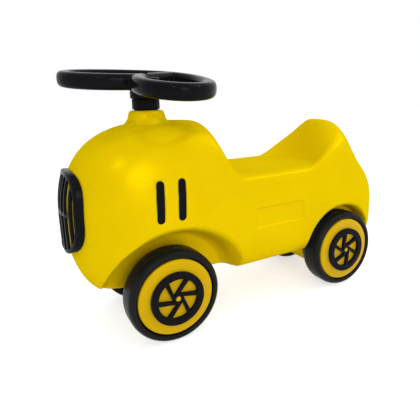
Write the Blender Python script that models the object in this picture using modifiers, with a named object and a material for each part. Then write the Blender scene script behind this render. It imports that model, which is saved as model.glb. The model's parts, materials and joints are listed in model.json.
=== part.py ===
"""Scoot-along ride-on toy car: a hollow blow-moulded body, a steering column that turns the
front axle, and four snap-together wheels.

Metres, +Z up. The front of the car faces -Y and its left side is +X. Places are set from the
floor, the centre plane and midway between the axles, and main() then moves the finished car so
that the origin lies on the floor under the middle of its outline.
"""

import math

import bmesh
import bpy
import numpy as np
from mathutils import Matrix, Vector

# Middle of the car's outline, which the turned steering wheel draws to the left
MIDDLE_X = 0.0140  # from the centre plane
MIDDLE_Y = -0.0098  # from midway between the axles

# Fits
GAP = 0.0003  # between pieces that touch
RUN = 0.0004  # radial play of a turning piece
WALL = 0.003  # blow-moulded wall

# Body shell
NOSE_Y = -0.3445
TAIL_Y = 0.333
HALF_WIDTH = 0.105
WAIST_Z = 0.200  # height of the widest line of the sides
NOSE_Z = 0.210
TAIL_Z = 0.155
BOTTOM_Z = 0.086
HOOD_TOP_Z = 0.375
HOOD_FRONT_Y = -0.160  # where the hood's crown starts to fall forwards
HOOD_FACE_Y = -0.073  # rear face of the hood at FACE_Z
HOOD_FACE_BOW = -0.010  # how far the face lies from there at the sides
HOOD_FACE_LEAN = 0.42
FACE_Z = 0.310
SEAT_Z = 0.274
BACK_TOP_Z = 0.360
BACK_Y = 0.216  # crest of the backrest
BACK_WAIST = 0.19  # how far the back is drawn in under the crest, as a share of its height
BACK_FACE_Y = 0.176  # inner face of the backrest at FACE_Z
BACK_FACE_BOW = -0.006
BACK_FACE_LEAN = 0.36
WING_LEAN = 1.40  # added to the lean at the sides, where the wings run down to the seat
HOOD_BLEND = 0.022
SEAT_BLEND = 0.032
EDGE_BLEND = 0.045
BELLY_FRONT_Y = -0.250
BELLY_REAR_Y = 0.260
PLAN_FRONT_Y = -0.200
PLAN_REAR_Y = 0.230
# Sections along the car: where each stretch ends, and how many sections it has
STRETCHES = ((-0.300, 4), (-0.110, 7), (-0.035, 7), (0.110, 4), (0.240, 11), (0.305, 3))
END_SECTIONS = 4
TOP_STEPS = 10
BOTTOM_STEPS = 3

# Wheels and axles
WHEELBASE = 0.394
WHEEL_RADIUS = 0.0825
DISC_FACE_X = 0.1126
TYRE_WIDTH = 0.0445
TYRE_BORE = 0.070
TYRE_SETBACK = 0.001
SHOULDER = 0.008
GROOVE_DEPTH = 0.0012
GROOVE_WIDTH = 0.002
DISC_RADIUS = 0.0674
DISC_WALL = 0.003
DISC_DEPTH = 0.0057
NUB_RADIUS = 0.0045
NUB_HEIGHT = 0.0060
CORE_WALL = 0.0035
CORE_WEB = 0.003
WEB_DEPTH = 0.010
HUB_RADIUS = 0.0105
TRIM_RADIUS = 0.0475
TRIM_RING = 0.0125
TRIM_THICK = 0.0064
TRIM_SPOKES = 6
SPOKE_WIDTH = 0.0060
SPOKE_OFFSET = 0.0070
TRIM_HUB = 0.0052
TRIM_TURNS = (math.radians(20), math.radians(-7))  # how the front and rear trims stand turned
AXLE_RADIUS = 0.005
CAP_RADIUS = 0.008
CAP_THICK = 0.0042
WASHER_RADIUS = 0.0105
WASHER_THICK = 0.0045
ROUND_SEGMENTS = 24
SMALL_SEGMENTS = 14

# Wheel housings
STEER_Y = -0.193
ARCH_Y = -0.187
ARCH_Z = 0.070
ARCH_RADIUS = 0.124
ARCH_STRETCH = 1.12  # how much longer than high the front arches are
ARCH_INNER_RADIUS = 0.104
SPINE_HALF = 0.036
REAR_ARCH_GAP = 0.0115
REAR_SPINE_HALF = 0.058
BOSS_HALF_LENGTH = 0.075
BOSS_BASE_Z = 0.040
BOSS_MIDDLE_Z = 0.092
POCKET_HALF = 0.046
POCKET_TOP_Z = 0.125

# Hood details
NECK_TOP_RADIUS = 0.0315
NECK_BASE_RADIUS = 0.0365
NECK_TOP_Z = 0.3940
NECK_ROUND = 0.005
SLOT_Y = (-0.2125, -0.1748)
SLOT_Z = 0.2495
SLOT_LENGTH = 0.0715
SLOT_WIDTH = 0.0128
SLOT_LEAN = math.radians(2.4)  # how far the slots lean back at the top
SLOT_DEPTH = 0.0025
BADGE_Y = 0.0285
BADGE_Z = 0.1905
BADGE_LENGTH = 0.115
BADGE_HEIGHT = 0.038
BADGE_DEPTH = 0.0012
GRILLE_Z = 0.237
GRILLE_HALF_WIDTH = 0.0625
GRILLE_HALF_HEIGHT = 0.070
GRILLE_POWER = 3.4  # 2 is an ellipse and higher is fuller in the corners
GRILLE_THICK = 0.0095
GRILLE_RIM = 0.0065
GRILLE_BARS = 7
GRILLE_BAR = 0.0050
GRILLE_BAR_DEPTH = 0.0035  # the bars stand clear of the nose
GRILLE_PITCH = 0.0152
GRILLE_RIB = 0.007
GRILLE_LEDGE = 0.0005  # of the rim round the windows

# Steering column
SHAFT_RADIUS = 0.0075
COLLAR_RADIUS = 0.024
COLLAR_BASE_Z = 0.3957
COLLAR_TOP_Z = 0.4135
BUSH_NECK_RADIUS = 0.0205
BUSH_SLEEVE_RADIUS = 0.0130
BUSH_LENGTH = 0.040
LOWER_BUSH_RADIUS = 0.0112
LOWER_BUSH_FLANGE = 0.018
LOWER_BUSH_FLANGE_THICK = 0.006
LOWER_BUSH_LENGTH = 0.012
CARRIER_RADIUS = 0.016
CARRIER_BASE_Z = 0.066
CARRIER_TUBE_RADIUS = 0.0115
SHAFT_BASE_Z = 0.092
SHAFT_TOP_Z = 0.440
BOLT_Z = 0.106
BOLT_RADIUS = 0.002
BOLT_HEAD_RADIUS = 0.0042
BOLT_HEAD = 0.003
SCREW_RADIUS = 0.003
SCREW_HEAD_RADIUS = 0.0065
SCREW_HEAD = 0.004
SCREW_LENGTH = 0.018
SCREW_SEAT_Z = 0.450

# Steering wheel: its rim follows r = mean + waist cos 2a + corner cos 4a + lean sin a + notch sin 3a
RIM_MEAN = 0.0925
RIM_WAIST = 0.0434
RIM_CORNER = -0.0074
RIM_LEAN = 0.0168
RIM_NOTCH = -0.0250
RIM_NOTCH_FLOOR = 0.012  # keeps the rim off the hub's centre in the notch
RIM_TUBE = 0.0138
RIM_Z = 0.4435
RIM_TURN = math.radians(34)
RIM_TILT = math.radians(6.3)
HOLE_CENTRE = 0.070
WHEEL_HUB_RADIUS = 0.0262
RIM_POINTS = 96
RIM_OUTER = 52
RIM_INNER = 22


# Scene and materials


def clear_scene():
    for obj in list(bpy.data.objects):
        bpy.data.objects.remove(obj, do_unlink=True)


def make_collection(name, helpers=False):
    collection = bpy.data.collections.new(name)
    bpy.context.scene.collection.children.link(collection)
    collection.hide_render = helpers
    return collection


def make_material(name, colour, roughness, metallic=0.0):
    material = bpy.data.materials.new(name)
    material.use_nodes = True
    shader = material.node_tree.nodes["Principled BSDF"]
    shader.inputs["Base Color"].default_value = (*colour, 1.0)
    shader.inputs["Roughness"].default_value = roughness
    shader.inputs["Metallic"].default_value = metallic
    return material


# Building blocks


def add_object(name, mesh, place, material=None, smooth=True):
    obj = bpy.data.objects.new(name, mesh)
    place.objects.link(obj)
    if material is not None:
        mesh.materials.append(material)
    if smooth:
        mesh.shade_smooth()
        mesh.set_sharp_from_angle(angle=math.radians(35))
    if place.hide_render:
        obj.hide_render = True
        obj.display_type = "WIRE"
    return obj


def turned(name, outline, segments, place, material=None, solid=False):
    """A profile of (radius, height) turned about local Z. It runs down its outer side. A solid
    one starts and ends on the axis, and a ring closes on itself."""
    mesh = bpy.data.meshes.new(name)
    points = [(radius, 0.0, height) for radius, height in outline]
    edges = [(i, i + 1) for i in range(len(points) - 1)]
    if not solid:
        edges.append((len(points) - 1, 0))
    mesh.from_pydata(points, edges, [])
    obj = add_object(name, mesh, place, material, smooth=False)
    screw = obj.modifiers.new("turn", "SCREW")
    screw.axis = "Z"
    screw.angle = 2 * math.pi
    screw.steps = segments
    screw.render_steps = segments
    screw.use_merge_vertices = True
    screw.merge_threshold = 0.00001
    screw.use_smooth_shade = True
    return obj


def cylinder(name, radius, low, high, segments, place, material=None):
    return turned(
        name,
        [(0.0, high), (radius, high), (radius, low), (0.0, low)],
        segments,
        place,
        material,
        solid=True,
    )


def ring(name, bore, radius, low, high, segments, place, material=None):
    return turned(
        name,
        [(bore, high), (radius, high), (radius, low), (bore, low)],
        segments,
        place,
        material,
    )


def box(name, low, high, place):
    bm = bmesh.new()
    bmesh.ops.create_cube(bm, size=1.0)
    low, high = Vector(low), Vector(high)
    for vertex in bm.verts:
        vertex.co = Vector(
            (low[i] + (vertex.co[i] + 0.5) * (high[i] - low[i]) for i in range(3))
        )
    mesh = bpy.data.meshes.new(name)
    bm.to_mesh(mesh)
    bm.free()
    return add_object(name, mesh, place, smooth=False)


def plate(name, outlines, half_thick, place, material=None, rounding=0.0, steps=1):
    """Flat outlines in local XY, the first one outside and the others holes, as a solid plate."""
    curve = bpy.data.curves.new(name, "CURVE")
    curve.dimensions = "2D"
    curve.fill_mode = "BOTH"
    curve.extrude = half_thick - rounding
    curve.bevel_depth = rounding
    curve.bevel_resolution = steps
    for outline in outlines:
        spline = curve.splines.new("POLY")
        spline.points.add(len(outline) - 1)
        for point, (x, y) in zip(spline.points, outline):
            point.co = (x, y, 0.0, 1.0)
        spline.use_cyclic_u = True
    source = bpy.data.objects.new(name, curve)
    place.objects.link(source)
    bpy.context.view_layer.update()
    graph = bpy.context.evaluated_depsgraph_get()
    mesh = bpy.data.meshes.new_from_object(source.evaluated_get(graph))
    bpy.data.objects.remove(source, do_unlink=True)
    bm = bmesh.new()
    bm.from_mesh(mesh)
    bmesh.ops.remove_doubles(bm, verts=bm.verts, dist=0.00001)
    bmesh.ops.recalc_face_normals(bm, faces=bm.faces)
    bm.to_mesh(mesh)
    bm.free()
    return add_object(name, mesh, place, material)


def stadium(length, width, steps=6):
    """A slot outline with round ends, its length along local X."""
    straight = (length - width) / 2
    points = []
    for side in (1, -1):
        for i in range(steps + 1):
            angle = (-math.pi / 2 + math.pi * i / steps) + (0 if side > 0 else math.pi)
            points.append(
                (
                    side * straight + width / 2 * math.cos(angle),
                    width / 2 * math.sin(angle),
                )
            )
    return points


def rounded_rectangle(length, height, corner, steps=3):
    points = []
    for quarter, (sx, sy) in enumerate(((1, 1), (-1, 1), (-1, -1), (1, -1))):
        for i in range(steps + 1):
            angle = math.pi / 2 * (quarter + i / steps)
            points.append(
                (
                    sx * (length / 2 - corner) + corner * math.cos(angle),
                    sy * (height / 2 - corner) + corner * math.sin(angle),
                )
            )
    return points


def boolean(target, others, operation="DIFFERENCE"):
    """Joins or cuts with all the others at once, out of a hidden collection of their own."""
    group = make_collection(f"{operation.lower()}_of_{target.name}", helpers=True)
    for other in others:
        for home in list(other.users_collection):
            home.objects.unlink(other)
        group.objects.link(other)
    modifier = target.modifiers.new(operation.lower(), "BOOLEAN")
    modifier.operation = operation
    modifier.solver = "EXACT"
    modifier.operand_type = "COLLECTION"
    modifier.collection = group


def place_at(obj, location, rotation=(0.0, 0.0, 0.0)):
    obj.location = location
    obj.rotation_euler = rotation
    return obj


def outward(side):
    """The rotation that turns local +Z to the car's side, +X for 1 and -X for -1."""
    return (0.0, side * math.pi / 2, 0.0)


# Body surface


def arc(share, power):
    """Height share of a superellipse quarter at a share of its length."""
    share = min(max(share, 0.0), 1.0)
    return (1.0 - share**power) ** (1.0 / power)


def bulged(share, power):
    """Turns a sine or cosine into a coordinate of a superellipse."""
    return math.copysign(abs(share) ** (2 / power), share)


def soft_max(a, b, blend):
    near = max(blend - abs(a - b), 0.0) / blend
    return max(a, b) + near * near * blend / 4


def soft_min(a, b, blend):
    return -soft_max(-a, -b, blend)


def half_width(y):
    front = arc((PLAN_FRONT_Y - y) / (PLAN_FRONT_Y - NOSE_Y), 2.3)
    rear = arc((y - PLAN_REAR_Y) / (TAIL_Y - PLAN_REAR_Y), 2.5)
    return HALF_WIDTH * front * rear


def middle_z(y):
    """Height of the line where the sides are widest."""
    if y < PLAN_FRONT_Y:
        share = (PLAN_FRONT_Y - y) / (PLAN_FRONT_Y - NOSE_Y)
        return WAIST_Z + (NOSE_Z - WAIST_Z) * share**2
    share = max(y / TAIL_Y, 0.0)
    return WAIST_Z + (TAIL_Z - WAIST_Z) * share**2


def envelope_z(x, y):
    """Top of the body as if the seat weren't scooped out of it."""
    along = min(max((y - HOOD_FRONT_Y) / (BACK_Y - HOOD_FRONT_Y), 0.0), 1.0)
    crown = HOOD_TOP_Z + (BACK_TOP_Z - HOOD_TOP_Z) * along
    front = arc((HOOD_FRONT_Y - y) / (HOOD_FRONT_Y - NOSE_Y), 2.7)
    share = min(max((y - BACK_Y) / (TAIL_Y - BACK_Y), 0.0), 1.0)
    rear = arc(share, 1.5) - BACK_WAIST * math.sin(math.pi * share**0.8) ** 2
    across = arc(abs(x) / max(half_width(y), 1e-9), 3.0 - 0.6 * along)
    middle = middle_z(y)
    return middle + (crown - middle) * front * rear * across


def saddle_z(x, y):
    """The scooped surface: the hood's rear face, the seat and the backrest's inner face."""
    share = abs(x) / HALF_WIDTH
    hood_y = HOOD_FACE_Y + HOOD_FACE_BOW * share**2
    back_y = BACK_FACE_Y + BACK_FACE_BOW * share**2
    hood = FACE_Z + (hood_y - y) / HOOD_FACE_LEAN
    back = FACE_Z + (y - back_y) / (BACK_FACE_LEAN + WING_LEAN * share**2)
    return soft_max(soft_max(hood, SEAT_Z, HOOD_BLEND), back, SEAT_BLEND)


def top_z(x, y):
    envelope = envelope_z(x, y)
    scoop = saddle_z(x, y)
    if scoop > envelope + EDGE_BLEND or envelope < middle_z(y) + 0.01:
        return envelope
    return max(soft_min(envelope, scoop, EDGE_BLEND), middle_z(y))


def bottom_z(x, y):
    front = arc((BELLY_FRONT_Y - y) / (BELLY_FRONT_Y - NOSE_Y), 2.7)
    rear = arc((y - BELLY_REAR_Y) / (TAIL_Y - BELLY_REAR_Y), 2.5)
    across = arc(abs(x) / max(half_width(y), 1e-9), 5.0)
    middle = middle_z(y)
    return middle - (middle - BOTTOM_Z) * front * rear * across


def side_x(y, z):
    """The side's distance from the centre plane at a height above the waist."""
    low, high = 0.0, half_width(y)
    for _ in range(40):
        trial = (low + high) / 2
        if top_z(trial, y) > z:
            low = trial
        else:
            high = trial
    return low


def section_places():
    """Positions of the body's cross-sections from nose to tail."""
    front, rear = STRETCHES[0][0], STRETCHES[-1][0]
    count = STRETCHES[0][1]
    places = [
        front - (front - NOSE_Y) * math.sin(math.pi / 2 * (count - i) / (count + 1))
        for i in range(count + 1)
    ]
    start = front
    for end, count in STRETCHES[1:]:
        places += [start + (end - start) * i / count for i in range(1, count + 1)]
        start = end
    places += [
        rear + (TAIL_Y - rear) * math.sin(math.pi / 2 * i / (END_SECTIONS + 1))
        for i in range(1, END_SECTIONS + 1)
    ]
    return places


def section_points(y):
    """One cross-section, from the bottom's middle up the left side, over and down again."""
    width = half_width(y)
    left = []
    for step in range(BOTTOM_STEPS + 1):
        x = width * math.sin(math.pi / 2 * step / BOTTOM_STEPS) ** 0.5
        left.append((x, y, bottom_z(x, y)))
    for step in range(1, TOP_STEPS):
        x = width * math.cos(math.pi / 2 * step / TOP_STEPS) ** 0.7
        left.append((x, y, top_z(x, y)))
    left.append((0.0, y, top_z(0.0, y)))
    return left + [(-x, y, z) for x, y, z in left[-2:0:-1]]


def close_rings(bm, rings, nose, tail):
    for first, second in zip(rings, rings[1:]):
        for i in range(len(first)):
            j = (i + 1) % len(first)
            bm.faces.new((first[i], first[j], second[j], second[i]))
    for loop, tip in ((rings[0], nose), (rings[-1], tail)):
        for i in range(len(loop)):
            bm.faces.new((loop[i], tip, loop[(i + 1) % len(loop)]))
    bmesh.ops.recalc_face_normals(bm, faces=bm.faces)


def shell_mesh(name, offset=0.0):
    """The body surface moved out along its normals."""
    bm = bmesh.new()
    rings = [
        [bm.verts.new(point) for point in section_points(y)] for y in section_places()
    ]
    nose = bm.verts.new((0.0, NOSE_Y, NOSE_Z))
    tail = bm.verts.new((0.0, TAIL_Y, TAIL_Z))
    close_rings(bm, rings, nose, tail)
    bm.normal_update()
    moved = [vertex.co + offset * vertex.normal for vertex in bm.verts]
    for vertex, point in zip(bm.verts, moved):
        vertex.co = point
    mesh = bpy.data.meshes.new(name)
    bm.to_mesh(mesh)
    bm.free()
    return mesh


# Cutters of the body, each made twice: at size for the outside and grown by the wall for the cavity


def housing_outline(grow):
    """Front wheel housing about the wheel's side direction, as radius and distance from centre."""
    inner = SPINE_HALF - grow
    return [
        (0.0, 0.20),
        (ARCH_RADIUS + 0.006 + grow, 0.20),
        (ARCH_RADIUS + grow, HALF_WIDTH),
        (ARCH_RADIUS - 0.005 + grow, HALF_WIDTH - 0.028),
        (ARCH_INNER_RADIUS + 0.009 + grow, inner + 0.012),
        (ARCH_INNER_RADIUS + grow, inner),
        (0.0, inner),
    ]


def hollows(place, grow):
    """Solids that the body is cut back from: housings, steering pocket and side slots."""
    tag = "cavity" if grow else "skin"
    rear_y = WHEELBASE / 2
    found = []
    for side, word in ((1, "left"), (-1, "right")):
        front = turned(
            f"cut_{tag}_front_{word}", housing_outline(grow), 48, place, solid=True
        )
        place_at(front, (0.0, ARCH_Y, ARCH_Z), outward(side))
        front.scale.y = ARCH_STRETCH
        rear = cylinder(
            f"cut_{tag}_rear_{word}",
            WHEEL_RADIUS + REAR_ARCH_GAP + grow,
            REAR_SPINE_HALF - grow,
            0.20,
            40,
            place,
        )
        place_at(rear, (0.0, rear_y, WHEEL_RADIUS), outward(side))
        found += [front, rear]
        for index, slot_y in enumerate(SLOT_Y):
            slot = slot_solid(
                f"cut_{tag}_slot_{word}_{index}", side, slot_y, GAP + grow, place
            )
            found.append(slot)
    reach = SPINE_HALF + 0.014
    found.append(
        box(
            f"cut_{tag}_pocket",
            (-reach, STEER_Y - POCKET_HALF - grow, -0.01),
            (reach, STEER_Y + POCKET_HALF + grow, POCKET_TOP_Z + grow),
            place,
        )
    )
    return found


def slot_frame(side, slot_y):
    """Matrix that lays a plate's local X up the side wall and its local Z out of it."""
    half = SLOT_LENGTH / 2
    high = side_x(slot_y, SLOT_Z + half)
    low = side_x(slot_y, SLOT_Z - half)
    middle = (high + low) / 2
    up = Vector((side * (high - low), 0.0, SLOT_LENGTH)).normalized()
    out = Vector((up.z * side, 0.0, -up.x * side)).normalized()
    up = up * math.cos(SLOT_LEAN) + Vector((0.0, math.sin(SLOT_LEAN), 0.0))
    across = out.cross(up)
    frame = Matrix((up, across, out)).transposed().to_4x4()
    frame.translation = Vector((side * middle, slot_y, SLOT_Z))
    return frame


def slot_solid(name, side, slot_y, grow, place, material=None, thick=None):
    """A slot's pocket, or its insert when a thickness is given."""
    outline = stadium(SLOT_LENGTH + 2 * grow, SLOT_WIDTH + 2 * grow)
    if thick is None:
        low, high = -SLOT_DEPTH - grow, 0.02
    else:
        low, high = -thick, -0.0005
    obj = plate(name, [outline], (high - low) / 2, place, material)
    shift = Matrix.Translation((0.0, 0.0, (high + low) / 2))
    obj.matrix_world = slot_frame(side, slot_y) @ shift
    return obj


# Body shell and what is fixed in it


def make_body(parts, cutters, yellow):
    body = add_object("body_shell", shell_mesh("body_shell"), parts, yellow)
    neck = turned(
        "neck",
        [
            (0.0, NECK_TOP_Z),
            (NECK_TOP_RADIUS - NECK_ROUND, NECK_TOP_Z),
            (NECK_TOP_RADIUS - 0.3 * NECK_ROUND, NECK_TOP_Z - 0.3 * NECK_ROUND),
            (NECK_TOP_RADIUS, NECK_TOP_Z - NECK_ROUND),
            (NECK_BASE_RADIUS, HOOD_TOP_Z - 0.004),
            (NECK_BASE_RADIUS, HOOD_TOP_Z - 0.03),
            (0.0, HOOD_TOP_Z - 0.03),
        ],
        32,
        cutters,
        solid=True,
    )
    place_at(neck, (0.0, STEER_Y, 0.0))
    boolean(body, [neck, rear_boss("rear_boss", 0.0, cutters)], "UNION")
    cavity = add_object("cut_cavity", shell_mesh("cut_cavity", -WALL), cutters)
    boolean(cavity, [rear_boss("rear_boss_cavity", WALL, cutters)], "UNION")
    boolean(cavity, hollows(cutters, WALL))
    cuts = [cavity] + hollows(cutters, 0.0)
    for side in (1, -1):
        badge = plate(
            f"cut_badge_{side}",
            [rounded_rectangle(BADGE_LENGTH, BADGE_HEIGHT, 0.004)],
            0.01,
            cutters,
        )
        badge.matrix_world = Matrix.Translation(
            (side * (HALF_WIDTH - BADGE_DEPTH + 0.01), BADGE_Y, BADGE_Z)
        ) @ Matrix(((0, 0, side, 0), (side, 0, 0, 0), (0, 1, 0, 0), (0, 0, 0, 1)))
        cuts.append(badge)
    for name, radius, low, high in (
        ("cut_upper_bush", BUSH_SLEEVE_RADIUS, 0.3, 0.5),
        ("cut_lower_bush", LOWER_BUSH_RADIUS, 0.1, 0.2),
    ):
        bore = cylinder(name, radius + GAP, low, high, 24, cutters)
        cuts.append(place_at(bore, (0.0, STEER_Y, 0.0)))
    axle_hole = cylinder(
        "cut_rear_axle", AXLE_RADIUS + GAP, -0.1, 0.1, SMALL_SEGMENTS, cutters
    )
    cuts.append(place_at(axle_hole, (0.0, WHEELBASE / 2, WHEEL_RADIUS), outward(1)))
    boolean(body, cuts)
    return body


def rear_boss(name, inset, cutters):
    """The block under the tail that holds the rear axle between the wheels."""
    length = BOSS_HALF_LENGTH - inset
    depth = BOSS_MIDDLE_Z - BOSS_BASE_Z - inset
    half = REAR_SPINE_HALF + 0.01 - inset
    steps = 16
    outline = []
    for i in range(steps + 1):
        reach = length * bulged(math.cos(math.pi * i / steps), 3)
        outline.append((reach, -depth * bulged(math.sin(math.pi * i / steps), 3)))
    outline[0] = (length, 0.0)
    outline[-1] = (-length, 0.0)
    outline += [(-length, 0.04), (length, 0.04)]
    boss = plate(name, [outline], half, cutters)
    boss.matrix_world = Matrix.Translation((0.0, WHEELBASE / 2, BOSS_MIDDLE_Z)) @ Matrix(
        ((0, 0, 1, 0), (1, 0, 0, 0), (0, 1, 0, 0), (0, 0, 0, 1))
    )
    return boss


def oval(half_width, half_height, steps=40):
    points = []
    for i in range(steps):
        angle = 2 * math.pi * i / steps
        x = half_width * bulged(math.cos(angle), GRILLE_POWER)
        points.append((x, half_height * bulged(math.sin(angle), GRILLE_POWER)))
    return points


def grille_windows():
    """The openings between the bars, in X and height over the grille's middle. The rib crosses
    all but the outermost ones."""
    half_width = GRILLE_HALF_WIDTH - GRILLE_RIM - GRILLE_LEDGE
    half_height = GRILLE_HALF_HEIGHT - GRILLE_RIM - GRILLE_LEDGE
    edge = GRILLE_RIB / 2
    windows = []
    for index in range(GRILLE_BARS - 1):
        low = (index - (GRILLE_BARS - 1) / 2) * GRILLE_PITCH + GRILLE_BAR / 2
        high = low + GRILLE_PITCH - GRILLE_BAR
        tops = [half_height * arc(abs(x) / half_width, GRILLE_POWER) for x in (low, high)]
        for half in (1, -1):
            windows.append(
                [
                    (low, half * edge),
                    (high, half * edge),
                    (high, half * tops[1]),
                    (low, half * tops[0]),
                ]
            )
    last = (GRILLE_BARS - 1) / 2 * GRILLE_PITCH + GRILLE_BAR / 2
    for side in (1, -1):
        upper = []
        for share in (0.0, 0.4, 0.75, 0.93):
            x = last + (half_width - last) * share
            height = half_height * arc(x / half_width, GRILLE_POWER)
            upper.append((side * x, height))
        lower = [(x, -height) for x, height in reversed(upper)]
        windows.append(upper + [(side * half_width, 0.0)] + lower)
    return windows


def make_grille(parts, cutters, black):
    """A patch of the swollen nose surface inside an oval: a rim with thin bars across it."""
    outer = shell_mesh("front_grille", GRILLE_THICK)
    grille = add_object("front_grille", outer, parts, black)
    upright = Matrix(((1, 0, 0, 0), (0, 0, -1, 0), (0, 1, 0, 0), (0, 0, 0, 1)))
    place = Matrix.Translation((0.0, NOSE_Y + 0.04, GRILLE_Z)) @ upright

    def prism(name, outline):
        obj = plate(name, [outline], 0.08, cutters)
        obj.matrix_world = place
        return obj

    rim = prism("cut_grille_rim", oval(GRILLE_HALF_WIDTH, GRILLE_HALF_HEIGHT))
    boolean(grille, [rim], "INTERSECT")
    depth = GRILLE_THICK - GRILLE_BAR_DEPTH
    hollow = add_object(
        "cut_grille_hollow", shell_mesh("cut_grille_hollow", depth), cutters
    )
    inside = oval(GRILLE_HALF_WIDTH - GRILLE_RIM, GRILLE_HALF_HEIGHT - GRILLE_RIM)
    boolean(hollow, [prism("cut_grille_inside", inside)], "INTERSECT")
    cuts = [
        add_object("cut_grille_back", shell_mesh("cut_grille_back", GAP), cutters),
        hollow,
    ]
    for index, window in enumerate(grille_windows()):
        cuts.append(prism(f"cut_grille_window_{index}", window))
    boolean(grille, cuts)
    return grille


def make_slots(parts, black):
    for side, word in ((1, "left"), (-1, "right")):
        for slot_y, end in zip(SLOT_Y, ("front", "rear")):
            slot_solid(
                f"slot_insert_{word}_{end}",
                side,
                slot_y,
                0.0,
                parts,
                black,
                thick=SLOT_DEPTH,
            )


def make_bushes(parts, black):
    bore = SHAFT_RADIUS + RUN
    upper = turned(
        "upper_bush",
        [
            (bore, COLLAR_BASE_Z - GAP),
            (BUSH_NECK_RADIUS, COLLAR_BASE_Z - GAP),
            (BUSH_NECK_RADIUS, NECK_TOP_Z + GAP),
            (BUSH_SLEEVE_RADIUS, NECK_TOP_Z + GAP),
            (BUSH_SLEEVE_RADIUS, NECK_TOP_Z - BUSH_LENGTH),
            (bore, NECK_TOP_Z - BUSH_LENGTH),
        ],
        24,
        parts,
        black,
    )
    place_at(upper, (0.0, STEER_Y, 0.0))
    top = POCKET_TOP_Z - GAP
    flange_base = top - LOWER_BUSH_FLANGE_THICK
    lower = turned(
        "lower_bush",
        [
            (bore, top + LOWER_BUSH_LENGTH),
            (LOWER_BUSH_RADIUS, top + LOWER_BUSH_LENGTH),
            (LOWER_BUSH_RADIUS, top),
            (LOWER_BUSH_FLANGE, top),
            (LOWER_BUSH_FLANGE, flange_base),
            (bore, flange_base),
        ],
        24,
        parts,
        black,
    )
    place_at(lower, (0.0, STEER_Y, 0.0))
    return flange_base


# Steering


def make_carrier(parts, cutters, black, top):
    """The block on the shaft's lower end that carries the front axle."""
    carrier = cylinder(
        "axle_carrier", CARRIER_RADIUS, CARRIER_BASE_Z, top - GAP, 24, parts, black
    )
    place_at(carrier, (0.0, STEER_Y, 0.0))
    axle_y = -WHEELBASE / 2
    half = REAR_SPINE_HALF
    tube = cylinder("carrier_tube", CARRIER_TUBE_RADIUS, -half, half, 20, cutters)
    place_at(tube, (0.0, axle_y, WHEEL_RADIUS), outward(1))
    boolean(carrier, [tube], "UNION")
    bore = cylinder(
        "cut_carrier_axle", AXLE_RADIUS + GAP, -0.1, 0.1, SMALL_SEGMENTS, cutters
    )
    place_at(bore, (0.0, axle_y, WHEEL_RADIUS), outward(1))
    socket = cylinder(
        "cut_carrier_socket", SHAFT_RADIUS + GAP, SHAFT_BASE_Z - GAP, 0.2, 20, cutters
    )
    place_at(socket, (0.0, STEER_Y, 0.0))
    boolean(carrier, [bore, socket, bolt_hole("cut_carrier_bolt", cutters)])


def bolt_hole(name, cutters):
    hole = cylinder(name, BOLT_RADIUS + GAP, -0.03, 0.03, 10, cutters)
    return place_at(hole, (0.0, STEER_Y, BOLT_Z), (math.pi / 2, 0.0, 0.0))


def make_column(parts, cutters, steel, black):
    shaft = cylinder(
        "steering_shaft", SHAFT_RADIUS, SHAFT_BASE_Z, SHAFT_TOP_Z, 20, parts, steel
    )
    place_at(shaft, (0.0, STEER_Y, 0.0))
    tapped = cylinder(
        "cut_tapped_hole",
        SCREW_RADIUS + GAP,
        SCREW_SEAT_Z - SCREW_LENGTH - 0.002,
        0.5,
        12,
        cutters,
    )
    place_at(tapped, (0.0, STEER_Y, 0.0))
    boolean(shaft, [tapped, bolt_hole("cut_shaft_bolt", cutters)])
    collar = ring(
        "steering_collar",
        SHAFT_RADIUS + GAP,
        COLLAR_RADIUS,
        COLLAR_BASE_Z,
        COLLAR_TOP_Z,
        28,
        parts,
        black,
    )
    place_at(collar, (0.0, STEER_Y, 0.0))
    reach = CARRIER_RADIUS + GAP
    bolt = turned(
        "carrier_bolt",
        [
            (0.0, reach + BOLT_HEAD),
            (BOLT_HEAD_RADIUS, reach + BOLT_HEAD),
            (BOLT_HEAD_RADIUS, reach),
            (BOLT_RADIUS, reach),
            (BOLT_RADIUS, -reach - BOLT_HEAD - 0.001),
            (0.0, -reach - BOLT_HEAD - 0.001),
        ],
        10,
        parts,
        steel,
        solid=True,
    )
    place_at(bolt, (0.0, STEER_Y, BOLT_Z), (math.pi / 2, 0.0, 0.0))
    nut = ring(
        "carrier_nut",
        BOLT_RADIUS + GAP,
        BOLT_HEAD_RADIUS,
        -reach - BOLT_HEAD,
        -reach,
        6,
        parts,
        steel,
    )
    place_at(nut, (0.0, STEER_Y, BOLT_Z), (math.pi / 2, 0.0, 0.0))
    screw = turned(
        "steering_screw",
        [
            (0.0, SCREW_SEAT_Z + GAP + SCREW_HEAD),
            (SCREW_HEAD_RADIUS, SCREW_SEAT_Z + GAP + SCREW_HEAD),
            (SCREW_HEAD_RADIUS, SCREW_SEAT_Z + GAP),
            (SCREW_RADIUS, SCREW_SEAT_Z + GAP),
            (SCREW_RADIUS, SCREW_SEAT_Z - SCREW_LENGTH),
            (0.0, SCREW_SEAT_Z - SCREW_LENGTH),
        ],
        12,
        parts,
        steel,
        solid=True,
    )
    place_at(screw, (0.0, STEER_Y, 0.0))
    axle = cylinder(
        "front_axle",
        AXLE_RADIUS,
        -axle_half(),
        axle_half(),
        SMALL_SEGMENTS,
        parts,
        steel,
    )
    place_at(axle, (0.0, -WHEELBASE / 2, WHEEL_RADIUS), outward(1))


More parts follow.
